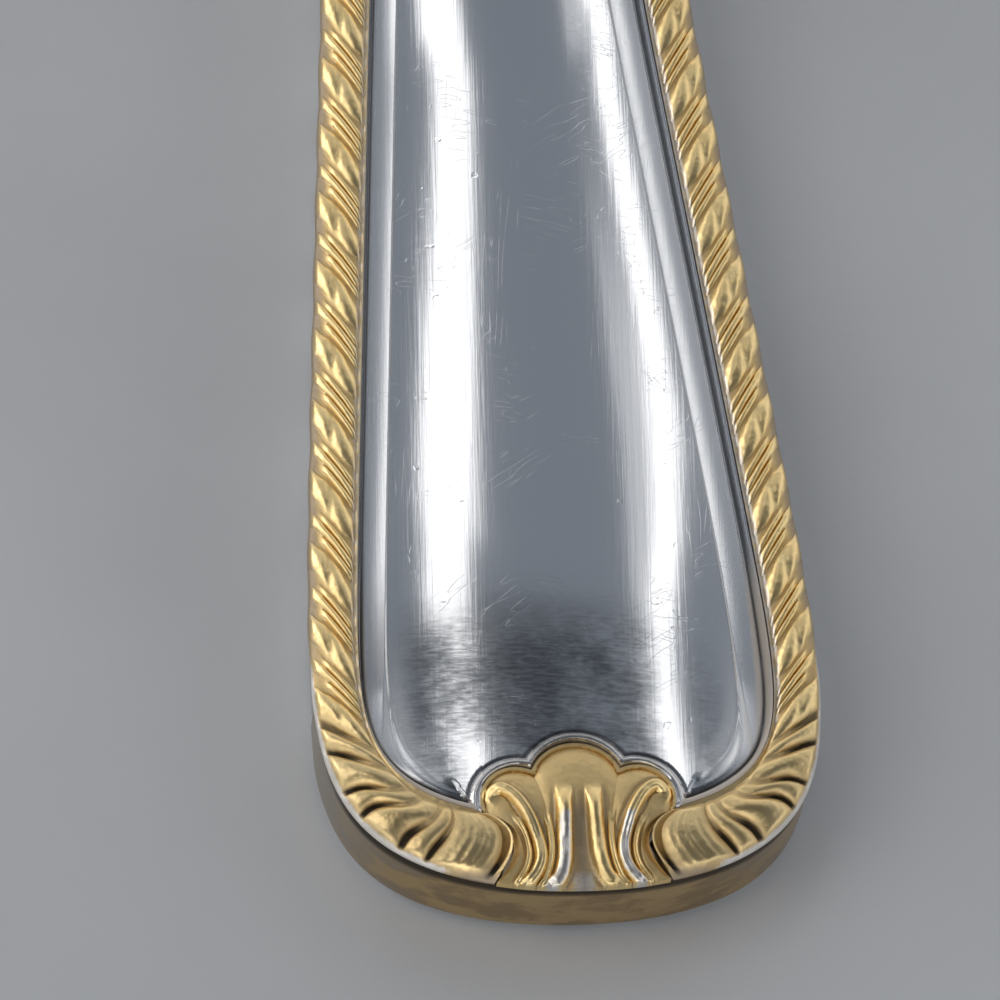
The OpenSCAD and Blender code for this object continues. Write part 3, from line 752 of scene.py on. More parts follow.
def plainHalf(u):
    u = u[:, None]
    wide, thick, dish = halfWide(u), thickAt(u), dishAt(u)
    top, foot = topShares()[None], footShares()[None]
    topHigh = thick / 2 * (1 + roundedEdge(top, edgePower(u))) + dish * top**2
    footHigh = thick / 2 * (1 - roundedEdge(foot, edgePower(u))) + dish * foot**2
    down = np.linspace(1, 0, wallCols + bevelCols + 2)[1:-1][None]
    wallHigh = mix(footHigh[:, :1], topHigh[:, -1:], down)
    shares = np.concatenate([top, np.ones((1, wallCols + bevelCols)), foot], 1)
    spots = np.stack(np.broadcast_arrays(wide * shares, u), -1)
    high = np.concatenate([topHigh, wallHigh, footHigh], 1)
    return raised(spots, high)


def sideRows(u, side):
    rimP = np.stack([halfWide(u), u], -1)
    seamP = np.stack([seamHalf(u), u], -1)
    crownP = np.stack([crownHalf(u, side), u], -1)
    return handleHalf(rimP, seamP, crownP, sideDistance, side)


def tineRing(right, u):  # one section of the inner or outer right tine, as a closed ring
    b = body
    wide, pitch, width = halfWide(u), tinePitch(u), tineWide(u)
    opened = min(1.0, (u - b.rootAt) / slotRound)
    slot = (pitch - width) / 2 * math.sqrt(max(0.0, 1 - (1 - opened) ** 2))
    left = pitch + slot if right else slot
    out = wide if right else pitch - slot
    past = max(0.0, u - (plan.length - b.pointLong)) / b.pointLong
    point = math.sqrt(max(b.pointLeast, 1 - past**b.pointPower))
    middle, half = (left + out) / 2, (out - left) / 2
    full, dish = float(thickAt(np.array(u))), float(dishAt(np.array(u)))
    thick = full * mix(b.pointThick, 1, point)
    run = topShares()[splitCol:] if right else topShares()[: splitCol + 1]
    a = 2 * (run - run[0]) / (run[-1] - run[0]) - 1
    low = footShares()[: footSplit + 1] if right else footShares()[footSplit:]
    aLow = 2 * (low - low.min()) / (low.max() - low.min()) - 1

    def edge(side):  # height share at a place across the tine
        slotCut = roundedEdge(side, b.tineEdge) ** ease(opened)
        if not right:
            return slotCut
        headCut = roundedEdge((middle + half * side) / wide, b.headEdge)
        outCut = mix(headCut, roundedEdge(side, b.tineEdge), ease(b.pointEase * past))
        return np.where(side < 0, slotCut, outCut)

    def spot(side, level):
        x = middle + half * point * side
        return [x, u, (full - thick) / 2 + thick / 2 * (1 + level) + dish * (x / wide) ** 2]

    ring = [spot(s, e) for s, e in zip(a, edge(a))]
    topOut, topIn = edge(a)[-1], edge(a)[0]
    outWall = wallCols + bevelCols if right else rootCols
    ring += [spot(1, mix(topOut, -topOut, k / (outWall + 1))) for k in range(1, outWall + 1)]
    ring += [spot(s, -e) for s, e in zip(aLow, edge(aLow))]
    ring += [spot(-1, mix(-topIn, topIn, k / (rootCols + 1))) for k in range(1, rootCols + 1)]
    return ring


def tineStations():
    b = body
    root = b.rootAt + slotRound * (1 - np.cos(np.linspace(0, math.pi / 2, b.slotRows)[1:]))
    pointAt = plan.length - b.pointLong
    straight = np.linspace(root[-1], pointAt, b.tineRows)[1:]
    point = pointAt + b.pointLong * np.sin(np.linspace(0, math.pi / 2, b.pointRows)[1:])
    return np.concatenate([root, straight, point])


def bodyHalf(side):
    b = body
    t = np.linspace(0, 1, b.endRows)
    crown = crownLine(side)
    crownP = crown.at(t * crown.reach(endZone))
    rimP, seamP = rim.at(t * rim.reach(endZone)), inner.at(t * innerEnd)
    end, *endFar = handleHalf(rimP, seamP, crownP, endDistance, side)
    straight, *sideFar = sideRows(np.linspace(endZone, plan.borderEnd, b.sideRows)[1:], side)
    fadeT = np.linspace(0, 1, b.fadeRows)[1:]
    fadeU = plan.borderEnd + b.fadeLong * fadeT
    fade = mix(sideRows(fadeU, side)[0], plainHalf(fadeU), ease(fadeT)[:, None, None])
    plain = plainHalf(np.linspace(fadeU[-1], b.rootAt, b.plainRows)[1:])
    rows = np.concatenate([end, straight, fade, plain])
    count, cols = rows.shape[:2]
    points = rows.reshape(-1, 3).tolist()
    faces = gridQuads(count, cols)
    last = (count - 1) * cols
    topIndex = last + np.arange(topCols)
    wallIndex = last + topCols + np.arange(wallCols + bevelCols)
    footIndex = last + topCols + wallCols + bevelCols + np.arange(footCols)

    def rootLine(upper, lower):  # points down the root of a slot, shared by the tines beside it
        first = len(points)
        high, low = np.array(points[upper]), np.array(points[lower])
        points.extend(mix(high, low, k / (rootCols + 1)).tolist() for k in range(1, rootCols + 1))
        return list(range(first, first + rootCols))

    middleRoot = rootLine(topIndex[0], footIndex[-1])
    sideRoot = rootLine(topIndex[splitCol], footIndex[footSplit])
    innerRing = [*topIndex[: splitCol + 1], *sideRoot, *footIndex[footSplit:], *middleRoot[::-1]]
    outerRing = [*topIndex[splitCol:], *wallIndex, *footIndex[: footSplit + 1], *sideRoot[::-1]]
    for right, ring in ((False, innerRing), (True, outerRing)):
        ring = [int(i) for i in ring]
        for u in tineStations():
            first = len(points)
            points.extend(tineRing(right, float(u)))
            fresh = list(range(first, len(points)))
            around = zip(ring, ring[1:] + ring[:1], fresh[1:] + fresh[:1], fresh)
            faces += [list(corners) for corners in around]
            ring = fresh
        faces.append(ring[::-1])
    far, run = (np.concatenate(pair) for pair in zip(endFar, sideFar))
    halfPoints = np.array(points)
    return halfPoints, faces, bodyMarks(halfPoints, count, cols, far, run, side)


def bodyMarks(points, count, cols, far, run, side):
    b = body
    u = points[:, 1]
    size = count * cols
    column = np.full(len(points), -1)
    column[:size] = np.tile(np.arange(cols), count)
    d, along = np.full(len(points), farOff), np.full(len(points), inner.total)
    d[:size].reshape(count, cols)[: len(far), : far.shape[1]] = far
    along[:size].reshape(count, cols)[: len(run), : run.shape[1]] = run
    onTop = (column >= 0) & (column < crownCols + mouldCols)
    onHandle = u < plan.borderEnd + b.fadeLong
    pastHoods = along - hoodLine.total
    groove, straight, bead = grooveAt(along, side), straightShare(along), moulding[side].bead
    rubbed = climb(u, b.rubbedFrom) * climb(u, b.rubbedTo)
    onSeam = climb(pastHoods, b.hoodMarksTo)
    # painted reflection of the gilding on the silver strip beside it
    paintedGoldGlow = (d < b.flushIn * groove) * climb(u, b.flushTo) * mix(b.flushByHoods, 1, onSeam)
    # dark lines of the moulding: grime with painted shade in the groove, painted shade on the seam strip
    # and at the bead's step
    line = mix(b.grimed, b.grimedBySides, straight) * mix(b.grimedByHoods, 1, onSeam)
    line = line * bump((d - groove - b.grimeIn) / b.grimeHalf)
    strip = b.stripGrime * (d < groove) * straight
    edgeLine = b.edgeGrime * straight * bump((d - bead - b.edgeGrimeIn) / b.edgeGrimeHalf)
    grooveGrimeAndShade = np.maximum.reduce([line, strip, edgeLine]) * ease((plan.borderEnd - u) / b.grimeSoft)
    byCorner = climb(pastHoods, b.hazeFrom)  # 0 round the shell's hoods
    rounded = 1 - climb(pastHoods, b.hazeTo)
    onBead = ease((d - groove) / b.beadHazeSoft) * ease((bead + b.beadHazeSoft - d) / b.beadHazeSoft)
    hazy = np.maximum(byCorner * rounded * climb(d, b.hazeIn), b.beadHaze * straight * onBead)
    marks = dict(rubbed=rubbed, grooveGrimeAndShade=grooveGrimeAndShade, paintedGoldGlow=paintedGoldGlow, hazy=hazy * onHandle)
    marks = {name: values * onTop for name, values in marks.items()}
    isWall = (column >= topCols - ledgeCols) & (column < topCols + wallCols + bevelCols) & onHandle
    return dict(marks, dull=isWall.astype(float))


def buildBody(finish):
    b = body
    right, faces, rightMarks = bodyHalf("right")
    left, _, leftMarks = bodyHalf("left")
    whole, faces, onMiddle = mirroredHalf(right, faces, left)
    marks = {name: np.concatenate([rightMarks[name], leftMarks[name][~onMiddle]]) for name in rightMarks}
    x, u = whole[:, 0], whole[:, 1]
    onPanel = whole[:, 2] > plan.ledgeHigh - b.panelSlack
    rubbed = marks["rubbed"] * ease((b.rubbedHalf - np.abs(x - b.rubbedAt)) / b.rubbedSideSoft)
    clear = bump((x - b.clearAt) / b.clearHalf) * climb(u, b.clearTo)
    faint = b.faint * bump((x - b.faintAt) / b.faintHalf) * onPanel
    faint *= climb(u, b.faintFrom) * climb(u, b.faintTo)
    marks["rubbed"] = np.maximum(rubbed * (1 - clear), faint)
    makePiece("silverFork", whole, faces, "fork_blank", finish, marks, b.crease)


# Gilt gadroon borders: leaning lobes, with a reed and two thin ridges in each gap

border = Values(
    pitch=3.6,  # one lobe with its gap
    lipThick=0.25, relief=0.85,
    footHalf=3.75,  # half width of the shell's foot along the rim
    waistIn=1.2,
    lipUnder=0.2,  # the lip's outer edge is undercut by this
    stripShare=0.05,  # plain strip along the inner edge, which leans outward
    stripHigh=0.64, stripFall=0.18,  # heights are shares of the relief
    inShare=0.08,  # the lobes rise from the strip over this share
    groundHigh=0.72, groundAt=0.38, groundHalf=0.645,  # floor of the grooves, round across the border
    crestAt=0.46, crestHalf=0.565,  # and backs of the lobes
    pinches=((0.12, 0.07, 0.25), (0.59, 0.1, 0.48)),  # place, half width and depth of a lobe's waists
    lobeInHalf=0.16, lobeMidHalf=0.25, lobeOutHalf=0.2,  # shares of the pitch
    midFrom=(0.1, 0.3), outFrom=(0.62, 0.2),
    lobePower=1.5, leafPower=1.1,
    leafInHalf=0.25, leafOutHalf=0.28,  # leaves of the corner
    firstHalf=0.35, firstTo=(0.75, 0.5),  # and the lobe beside the shell
    leavesTo=(2.7, 1.4),  # the leaves turn into the lobes of the sides from here
    reedHalf=0.075, reedOutHalf=0.1, reedHigh=0.84, leafReedHalf=0.16, firstReed=0.6,
    thinAt=0.15, thinHalf=0.064, thinHigh=0.74,
    slitDeep=0.5, slitFrom=(0.3, 0.4),  # slits between the leaves
    webHigh=0.5, webFrom=(0.05, 0.5),  # which close inward
    stripes=9, stripeDeep=0.06, stripesTo=(0.9, 0.2),  # fine cuts along the first lobe
    scallop=0.1, scallopFrom=(2.5, 2.0), scallopShare=0.55,  # the lip draws in beside the reeds
    lipShare=0.05, lipRound=0.2, lipCols=6,  # rounding of the lip
    edgeShare=0.09,  # the lobes die out towards the lip over this share
    cornerStep=1.05, cornerLobes=3.2, cornerSoft=0.6,  # lobes lie closer along the inside of the corner
    scrollWide=0.8, swayAt=1.6, sway=0.28,
    endHigh=0.3, endFade=1.5,  # the relief sinks towards the shank
    wornRight=0.6, wornLeft=0.5, wornSoil=0.75,  # the inner edge has lost its gilding
    wornShare=(0.17, -0.05), wornFrom=(2.5, 1.5),
    lipBare=0.9, lipBareShare=0.1, bareFrom=0.3, bareFade=0.5, bareTo=4.6,  # and so has the corner's lip
    soil=0.75, soilFrom=(0.74, 0.2), leafSoil=0.14, backSoil=0.6, cornerSoil=0.5,
    # painted shade in the slits between the leaves, where the relief is low
    slitBlack=0.95, blackFrom=(0.35, 0.3), blackTo=(0.97, -0.06), blackHigh=(0.36, -0.28),
    stripShown=0.6, leafSunk=0.6, backShown=0.5,
    unitRows=60, acrossCols=48, crease=60,
    backShares=(1.0, 0.9, 0.5, 0.0),  # columns of the underside
)


def softStep(x):
    return (x + np.sqrt(x * x + border.cornerSoft)) / 2


def innerRun(c):
    b = border
    bent = softStep(c - b.cornerLobes) - softStep(-b.cornerLobes)
    return b.cornerStep * c + (b.pitch - b.cornerStep) * bent


def outerRun(c):
    return border.footHalf + border.pitch * c


def leafShare(c):  # 1 in the corner and 0 along the sides
    return 1 - climb(c, border.leavesTo)


def borderPlan(c, v):
    b = border
    start, stop = seam.at(innerRun(c)), rim.at(outerRun(c))
    way = unit(stop - start)
    across = np.stack([way[..., 1], -way[..., 0]], -1)
    scroll = b.waistIn * bump(c / b.scrollWide)
    sway = b.sway * bump((c - b.swayAt) / b.scrollWide)
    push = scroll * 4 * v * (1 - v) + sway * np.sin(2 * math.pi * v)
    drawn = b.scallop * wave(c) * climb(c, b.scallopFrom)
    drawn = drawn * ease((v - b.scallopShare) / (1 - b.scallopShare))
    spots = mix(start, stop, mix(plan.plateGap / plan.borderWide, 1, v)[..., None])
    return spots + across * push[..., None] - way * drawn[..., None]


def borderRelief(c, v):  # height, and share of the way from the groove to the lobe's back
    b = border
    phase = c - np.floor(c)
    fromReed = np.minimum(phase, 1 - phase)
    leaf, first = leafShare(c), 1 - climb(c, b.firstTo)
    outer = climb(v, b.outFrom)
    rise = ease((v - b.stripShare) / b.inShare)
    ground = b.groundHigh * arched(v - b.groundAt, b.groundHalf)
    ground *= 1 - b.slitDeep * leaf * climb(v, b.slitFrom)
    crest = arched(v - b.crestAt, b.crestHalf)
    waists = sum(deep * bump((v - at) / half) for at, half, deep in b.pinches)
    lobeHalf = mix(b.lobeInHalf, b.lobeMidHalf, climb(v, b.midFrom))
    lobeHalf = mix(lobeHalf, b.lobeOutHalf, outer)
    leafHalf = mix(mix(b.leafInHalf, b.leafOutHalf, v), b.firstHalf, first)
    lobe = arched(phase - 0.5, mix(lobeHalf, leafHalf, leaf)) ** mix(b.lobePower, b.leafPower, leaf)
    lobe *= 1 - waists * (1 - leaf)
    lobe *= 1 - b.stripeDeep * wave(b.stripes * phase) * (1 - climb(c, b.stripesTo))
    reedHalf = mix(b.reedHalf, b.reedOutHalf, outer)
    reedHalf = mix(reedHalf, b.leafReedHalf * mix(1, b.firstReed, first), leaf)
    reed = b.reedHigh * arched(fromReed, reedHalf)
    thin = b.thinHigh * arched(fromReed - b.thinAt, b.thinHalf) * (1 - outer) * (1 - leaf)
    web = b.webHigh * leaf * (1 - first) * (1 - climb(v, b.webFrom))
    share = np.maximum.reduce([lobe, reed, thin, web]) * rise * ease((1 - v) / b.edgeShare)
    lip = np.clip((v - 1) / b.lipShare + 1, 0, 1)
    strip = b.stripHigh - b.stripFall * ease(v / (b.stripShare + b.inShare))
    ground = mix(strip, ground, rise)
    high = ground + np.maximum(crest - ground, 0) * share - b.lipRound * (1 - np.sqrt(1 - lip**2))
    return high, share


def buildBorder(name, node, side, finish):
    b = border
    lobeEnd = (rim.reach(plan.borderEnd) - b.footHalf) / b.pitch
    stations = np.arange(1, lobeEnd * b.unitRows) / b.unitRows
    stations = np.concatenate([[plan.plateGap / b.pitch], stations, [lobeEnd]])
    lipTurn = np.linspace(0, math.pi / 2, b.lipCols + 1)[1:]
    shares = np.linspace(0, 1 - b.lipShare, b.acrossCols - b.lipCols)
    shares = np.concatenate([shares, 1 - b.lipShare * (1 - np.sin(lipTurn))])
    c, v = np.meshgrid(stations, shares, indexing="ij")
    high, relief = borderRelief(c, v)
    low = plan.ledgeHigh + plan.plateGap
    high = low + b.lipThick + b.relief * high * mix(b.endHigh, 1, ease((lobeEnd - c) / b.endFade))
    backC, backV = np.meshgrid(stations, b.backShares, indexing="ij")
    back = raised(borderPlan(backC, backV), low + b.lipUnder * (backV == 1))
    rings = np.concatenate([raised(borderPlan(c, v), high), back], 1)
    rows, cols = rings.shape[:2]
    faces = gridQuads(rows, cols, closed=True)
    faces += [list(range(cols - 1, -1, -1)), [(rows - 1) * cols + i for i in range(cols)]]
    points = rings.reshape(-1, 3) * [side, 1, 1]
    faces = [face[::-1] for face in faces] if side < 0 else faces

    def withBack(values, under):  # marks of the top, then of the underside
        return np.concatenate([values, np.broadcast_to(under, backV.shape)], 1)

    leaf, corner = leafShare(c), ease((c - b.bareFrom) / b.bareFade) * ease(b.bareTo - c)
    lipBare = ease((v - 1) / b.lipBareShare + 1) * corner * b.lipBare
    worn = b.wornRight if side > 0 else b.wornLeft
    worn = worn * climb(v, b.wornShare) * climb(c, b.wornFrom)
    soiled = b.soil * climb(v, b.soilFrom) * (1 - relief) * (1 - corner)
    soiled = np.maximum.reduce([soiled, b.leafSoil * leaf, b.wornSoil * worn])
    # painted shade, near black, in the slits between the corner leaves
    paintedSlitShade = b.slitBlack * leaf * climb(v, b.blackFrom) * climb(v, b.blackTo)
    paintedSlitShade = paintedSlitShade * climb(relief, b.blackHigh)
    strip = b.stripShown * (1 - ease((v - b.stripShare) / b.inShare))
    marks = dict(
        relief=withBack(np.maximum(relief, strip) * (1 - b.leafSunk * leaf), b.backShown),
        bare=withBack(np.maximum(lipBare, worn), corner[:, :1] * b.lipBare),
        soiled=withBack(soiled, b.backSoil - b.cornerSoil * corner[:, :1]),
        paintedSlitShade=withBack(paintedSlitShade, 0.0),
    )
    makePiece(name, points, faces, node, finish, marks, b.crease)


# Gilt shell: a dome over a fluted stem between two side hoods

shell = Values(
    cols=121, rows=150,  # points across half the shell and along it
    stripWide=0.2, stripHigh=0.62,  # plain strip round the hoods
    draw=0.3,
    footHigh=0.12, stemHigh=0.4, stemLong=1.6,
    domeLow=0.4, domeHigh=0.96, domeStretch=1.5,
    sideLow=0.4, sideHigh=0.82, sideStretch=1.6,
    hoodPower=0.5, tailPower=1.4,
    fluteDeep=0.2, fluteHalf=0.4, fluteTo=(4.7, -2.2), fluteFrom=0.9,
    lineDeep=0.08, lineAt=1.25, lineHalf=0.35,  # fine grooves along both sides of the ridges
    splitHalf=0.3,
    ridgeStart=1.3, ridgeStop=0.6, bareSoft=0.8,
    sideSink=0.6, sideSinkShare=0.08,
    footBare=0.75, footBareHalf=0.7, footBareTo=(1.3, -0.9),
    lineSoil=0.45, fluteSoil=0.7, soilTo=(4.6, -1.5), soilHigh=(0.1, -0.08),
    shown=0.2, ridgeShown=2.8, grooveSunk=0.1, ridgeEdge=0.02,
    crease=60,
)
shellRidges = (  # [x, u] points of the right half's ridges, from the hoods to the foot
    Values(half=0.35, high=0.4, split=0.0, bareLeft=0.75, bareRight=0.3, bareFrom=0.9,
           knots=((0.6, 4.7), (0.64, 3.9), (0.67, 2.6), (0.74, 1.35), (0.98, 0.5), (1.4, 0.08))),
    Values(half=0.15, high=0.24, split=0.3, bareLeft=0.1, bareRight=0.1, bareFrom=0.0,
           knots=((1.42, 3.6), (1.32, 2.9), (1.27, 2.0), (1.35, 1.2), (1.6, 0.45), (1.85, 0.1))),
    Values(half=0.29, high=0.42, split=0.15, bareLeft=0.4, bareRight=0.75, bareFrom=2.4,
           knots=((3.35, 3.75), (3.75, 4.15), (3.35, 4.5), (2.75, 4.1), (2.2, 3.2), (1.84, 2.2),
                  (1.76, 1.3), (2.0, 0.65), (2.45, 0.15))),
    Values(half=0.14, high=0.22, split=0.4, bareLeft=0.1, bareRight=0.1, bareFrom=0.0,
           knots=((2.85, 3.35), (2.4, 2.4), (2.25, 1.6), (2.4, 0.9), (2.8, 0.3))),
)


def shellPlan(q, r):
    foot = rim.at(border.footHalf * np.sqrt(q))
    top = hoodLine.at(hoodLine.total * q)
    way = unit(foot - top)
    across = np.stack([way[..., 1], -way[..., 0]], -1)
    bow = (border.waistIn * (1 - (1 - q) ** 3) + shell.draw * np.sin(math.pi * q)) * 4 * r * (1 - r)
    inset = 1 - plan.plateGap / (hood.domeAt + hood.domeRound)
    spots = mix(foot, top, (r * inset)[..., None]) + across * (bow + plan.plateGap * q)[..., None]
    spots[..., 0] = np.maximum(spots[..., 0], 0)
    return spots


def hoodBack(spots, middle, reach, stretch, low, high):  # rounded back of a hood, 0 outside it
    away = spots - np.array(middle)
    below = np.clip(-away[..., 1] / (stretch * reach), 0, 1)
    away[..., 1] = np.where(away[..., 1] < 0, away[..., 1] / stretch, away[..., 1])
    share = np.linalg.norm(away, axis=-1) / reach
    bulge = np.maximum(0, 1 - share**2) ** mix(shell.hoodPower, shell.tailPower, ease(below))
    return np.where(share < 1, mix(low, high, bulge), 0)


def shellHigh(spots, q):  # height, ridges, fine grooves and how bare the two halves are
    s, h = shell, hood
    flat = spots.reshape(-1, 2)
    fromHood = hoodLine.distance(flat)[0].reshape(q.shape)
    x, u = spots[..., 0], spots[..., 1]
    stem = mix(s.footHigh, s.stemHigh, ease(u / s.stemLong))
    dome = hoodBack(spots, (0, h.domeAt), h.domeRound - s.stripWide, s.domeStretch, s.domeLow, s.domeHigh)
    sideMiddle, sideReach = (h.sideOut, h.sideAt), h.sideRound - s.stripWide
    side = hoodBack(spots, sideMiddle, sideReach, s.sideStretch, s.sideLow, s.sideHigh)
    level = np.maximum.reduce([stem, dome, side])
    fluted = bump(x / s.fluteHalf) * climb(u, s.fluteTo) * ease(u / s.fluteFrom)
    level = np.where(fromHood < s.stripWide, s.stripHigh, level - s.fluteDeep * fluted)
    ridge, line, bareLeft, bareRight = np.zeros((4, *q.shape))
    for form in shellRidges:
        curve = smoothLine(form.knots)
        far, run = (k.reshape(q.shape) for k in curve.distance(flat))
        fade = ease(run / s.ridgeStart) * ease((curve.total - run) / s.ridgeStop + 0.5)
        plainBack = arched(far, form.half)
        rubbed = plainBack * ease((run - form.bareFrom) / s.bareSoft)
        back = plainBack * (1 - form.split * bump(far / (s.splitHalf * form.half))) * fade
        ridge = np.maximum(ridge, form.high * back)
        line = np.maximum(line, bump((far / form.half - s.lineAt) / s.lineHalf) * fade)
        bareLeft = np.maximum(bareLeft, form.bareLeft * rubbed)
        bareRight = np.maximum(bareRight, form.bareRight * rubbed)
    level *= mix(s.sideSink, 1, ease((1 - q) / s.sideSinkShare))
    line = line * (ridge < s.ridgeEdge) * (fromHood > s.stripWide)
    return level + ridge - s.lineDeep * line, ridge, line, bareLeft, bareRight


def buildShell(finish):
    s = shell
    q, r = np.meshgrid(np.linspace(0, 1, s.cols), np.linspace(0, 1, s.rows))
    spots = shellPlan(q, r)
    high, ridge, line, bareLeft, bareRight = shellHigh(spots, q)
    low = plan.ledgeHigh + plan.plateGap
    top = raised(spots, low + border.lipThick + border.relief * high)
    under = raised(spots, np.full(q.shape, low))
    count = q.size
    points = np.concatenate([top.reshape(-1, 3), under.reshape(-1, 3)])
    quads = gridQuads(s.rows, s.cols)
    faces = quads + [[i + count for i in quad[::-1]] for quad in quads]
    grid = np.arange(count).reshape(q.shape)
    for edge in (grid[0], grid[:, -1], grid[-1, ::-1]):  # foot, side and hoods
        faces += [[int(b), int(a), int(a) + count, int(b) + count] for a, b in zip(edge[:-1], edge[1:])]
    x, u = spots[..., 0], spots[..., 1]
    fluted = bump(x / s.fluteHalf) * climb(u, s.soilTo)
    relief = np.clip(s.shown + s.ridgeShown * ridge - s.grooveSunk * (fluted + line), 0, 1)
    footBare = s.footBare * bump(x / s.footBareHalf) * climb(u, s.footBareTo)
    bare = [np.maximum(half, footBare) for half in (bareRight, bareLeft)]
    soiled = np.maximum(s.lineSoil * line, s.fluteSoil * fluted * climb(ridge, s.soilHigh))
    whole, faces, onMiddle = mirroredHalf(points, faces)
    marks = {}
    for name, halves in dict(relief=[relief] * 2, bare=bare, soiled=[soiled] * 2).items():
        right, left = (np.tile(half.ravel(), 2) for half in halves)  # top, then underside
        marks[name] = np.concatenate([right, left[~onMiddle]])
    makePiece("giltShell", whole, faces, "gilt_shell", finish, marks, s.crease)


# Gilt band on the wall round the end

band = Values(
    thick=0.2, endThick=0.3, endShare=0.2,  # thinner at its ends
    edgeThick=0.75,  # and towards its edges
    long=17.0, foot=0.6,
    rows=160, cols=22, rowPower=0.8, crease=40,
    lineLow=(3.2, 0.3), lineTo=(0.85, -0.3),  # painted shadow: dark line under the border's lip
)


def buildBand(finish):
    b = band
    half = np.linspace(0, 1, b.rows)
    run = b.long * half**b.rowPower
    outer = rim.at(run)
    way = unit(outer - inner.at(run * innerEnd / rim.reach(endZone)))
    near = outer - way * (body.wallSet - plan.plateGap)
    grown = b.thick * mix(b.endThick, 1, ease((1 - half) / b.endShare))
    levels = np.linspace(plan.ledgeHigh - plan.plateGap, b.foot, b.cols)
    bulge = mix(b.edgeThick, 1, np.sqrt(1 - np.linspace(-1, 1, b.cols) ** 4))
    front = near[:, None] + way[:, None] * (grown[:, None] * bulge)[..., None]
    spots = np.concatenate([front, np.repeat(near[:, None], 2, 1)], 1)
    levels = np.concatenate([levels, levels[[-1, 0]]])  # the back is two columns
    rings = raised(spots, np.repeat(levels[None], b.rows, 0))
    cols = len(levels)
    faces = gridQuads(b.rows, cols, closed=True)
    faces.append([(b.rows - 1) * cols + i for i in range(cols)])
    faded = np.repeat(half, cols)
    # painted shadow under the border's lip, strongest at the band's top
    lined = np.ravel(climb(levels, b.lineLow) * climb(half, b.lineTo)[:, None])
    whole, faces, onMiddle = mirroredHalf(rings.reshape(-1, 3), faces)
    marks = dict(faded=faded, lined=lined)
    marks = {name: np.concatenate([values, values[~onMiddle]]) for name, values in marks.items()}
    makePiece("giltEdgeBand", whole, faces, "gilt_edge_band", finish, marks, b.crease)


gilding = goldFinish()
buildBody(silverFinish())
buildBorder("giltBorderRight", "gilt_border_right", 1, gilding)
buildBorder("giltBorderLeft", "gilt_border_left", -1, gilding)
buildShell(gilding)
buildBand(bandFinish())


# Floor, light and camera

stageLook = Values(
    floorSize=1.6, floor=(0.73, 0.748, 0.772, 1),
    floorRough=0.55, cloudRough=0.1, cloudDark=0.93, lift=0.00002,
    backdrop=(0.36, 0.37, 0.385, 1),
)


def buildFloor():
    look = stageLook
    made, sheet = newMaterial("paleTable", look.floor)
    spot = sheet.millimetres()
    cloudy = sheet.noise(spot, 0.05, 3.0)
    speckle = sheet.noise(spot, 1.2)
    darker = (*(look.cloudDark * k for k in look.floor[:3]), 1)
    skin = sheet.blend(sheet.ramp(cloudy, 0.3, 0.7), look.floor, darker)
    closeMaterial(sheet, skin, look.floorRough + cloudy * look.cloudRough, 0.0, speckle, look.lift)
    half = look.floorSize / 2
    corners = [(-half, -half, 0), (half, -half, 0), (half, half, 0), (-half, half, 0)]
    mesh = bpy.data.meshes.new("tableTop")
    mesh.from_pydata(corners, [], [(0, 1, 2, 3)])
    mesh.materials.append(made)
    addObject("tableTop", mesh)


room = Values(
    leftWall=(0.98, 0.97, 0.95, 1),
    rightWall=(0.95, 0.95, 0.96, 1),
    ceiling=(0.205, 0.225, 0.255, 1),
    shade=(0.07, 0.078, 0.09, 1),  # dark overhead, on the near side
    shadeWay=(0.0, -0.35, 0.94),
    shadeFrom=0.665,
    shadeFull=0.72,
)


def buildRoom():
    world = bpy.data.worlds.new("room")
    bpy.context.scene.world = world
    world.use_nodes = True
    sheet = Sheet(world.node_tree)
    way = sheet.node("ShaderNodeTexCoord", output="Generated")
    upward, rightward = sheet.dot(way, (0, 0, 1)), sheet.dot(way, (1, 0, 0))
    walls = sheet.blend(sheet.ramp(rightward, -0.4, 0.6), room.leftWall, room.rightWall)
    colour = sheet.blend(sheet.ramp(upward, 0.2, 0.8), walls, room.ceiling)
    shaded = sheet.ramp(sheet.dot(way, room.shadeWay), room.shadeFrom, room.shadeFull)
    colour = sheet.blend(shaded, colour, room.shade)
    seen = sheet.node("ShaderNodeLightPath", output="Is Camera Ray")
    colour = sheet.blend(seen, colour, stageLook.backdrop)
    glow = sheet.node("ShaderNodeBackground", {}, {"Color": colour, "Strength": 1.0})
    sheet.node("ShaderNodeOutputWorld", {}, {"Surface": glow})


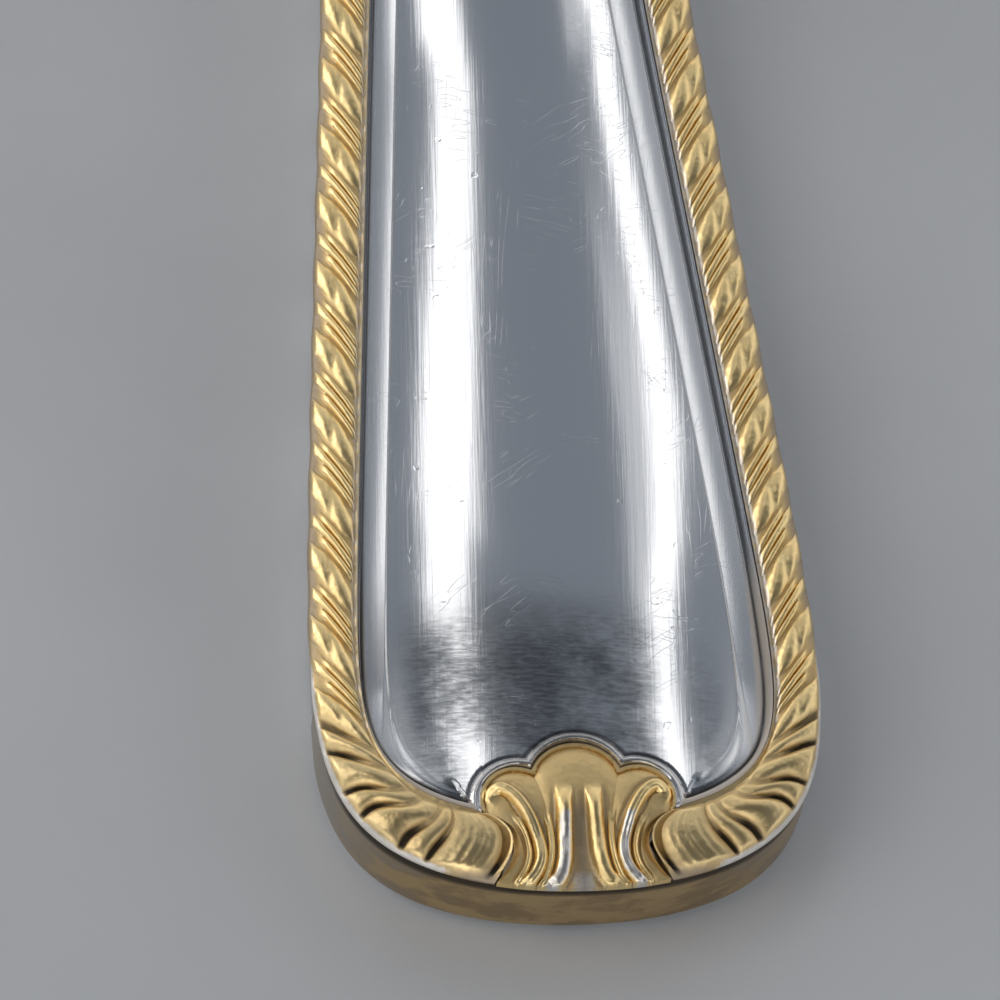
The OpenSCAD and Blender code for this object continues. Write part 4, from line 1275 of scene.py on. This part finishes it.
lamps = (  # way and distance from the handle, lean in degrees, size and brightness of each soft panel
    Values(name="leftWindow", way=(-0.059, 0.62, 0.785), far=0.7, lean=23,
           wide=0.075, long=0.175, glow=1.22, lit=True),
    Values(name="leftUpper", way=(-0.158, 0.475, 0.867), far=0.7, lean=14.9,
           wide=0.072, long=0.134, glow=1.3, lit=True),
    Values(name="rightWindow", way=(0.384, 0.58, 0.7), far=0.7, lean=-7,
           wide=0.046, long=0.1, glow=1.35, lit=True),
    Values(name="rightUpper", way=(0.384, 0.46, 0.79), far=0.7, lean=18,
           wide=0.047, long=0.12, glow=1.3, lit=True),
    Values(name="rightSoft", way=(0.328, 0.48, 0.79), far=0.7, lean=6,
           wide=0.05, long=0.125, glow=0.38, lit=True),
    Values(name="nearWindow", way=(-0.6, -0.03, 0.79), far=0.7, lean=0,
           wide=0.44, long=0.42, glow=1.35, lit=True),
    Values(name="frontLow", way=(-0.3, -0.93, 0.22), far=0.7, lean=0,
           wide=0.9, long=0.34, glow=1.3, lit=False),
    Values(name="lowWindow", way=(-0.85, 0.45, 0.26), far=0.8, lean=0,
           wide=0.5, long=0.4, glow=1.6, lit=False),
)
lampAim = Vector((0, -0.08, 0.004))
lampColour = (1.0, 0.97, 0.935)


def facing(spot, axes):
    return Matrix.Translation(spot) @ Matrix(axes).transposed().to_4x4()


def buildLamps():
    for lamp in lamps:
        area = bpy.data.lights.new(lamp.name, "AREA")
        area.shape = "RECTANGLE"
        area.size, area.size_y = lamp.wide, lamp.long
        area.energy = lamp.glow * math.pi * lamp.wide * lamp.long
        area.color = lampColour
        panel = addObject(lamp.name, area)
        back = Vector(lamp.way).normalized()
        along = (Vector((0, 1, 0)) - back * back.y).normalized()  # the long side runs with the handle
        lean = math.radians(lamp.lean)
        along = along * math.cos(lean) + along.cross(back) * math.sin(lean)
        panel.matrix_world = facing(lampAim + back * lamp.far, (along.cross(back), along, back))
        panel.visible_camera = False
        panel.visible_diffuse = lamp.lit


viewpoint = Values(
    turn=-12.933, tilt=58.677, roll=10.157,  # degrees
    far=0.3, aim=(-0.002164, -0.081048, 0.0042),
    lens=250.23, sensor=36.0, near=0.01,
)


def buildCamera():
    v = viewpoint
    turn, tilt, roll = (math.radians(v[k]) for k in ("turn", "tilt", "roll"))
    back = Vector((math.sin(turn) * math.cos(tilt), -math.cos(turn) * math.cos(tilt), math.sin(tilt)))
    right = Vector((math.cos(turn), math.sin(turn), 0))
    up = back.cross(right)
    rolled = right * math.cos(roll) + up * math.sin(roll)
    lens = bpy.data.cameras.new("viewpoint")
    lens.sensor_width = v.sensor
    lens.lens = v.lens
    lens.clip_start = v.near
    camera = addObject("viewpoint", lens)
    camera.matrix_world = facing(Vector(v.aim) + back * v.far, (rolled, back.cross(rolled), back))
    bpy.context.scene.camera = camera


buildFloor()
buildRoom()
buildLamps()
buildCamera()
bpy.context.scene.view_settings.view_transform = "Standard"
print("floor, light and camera set")
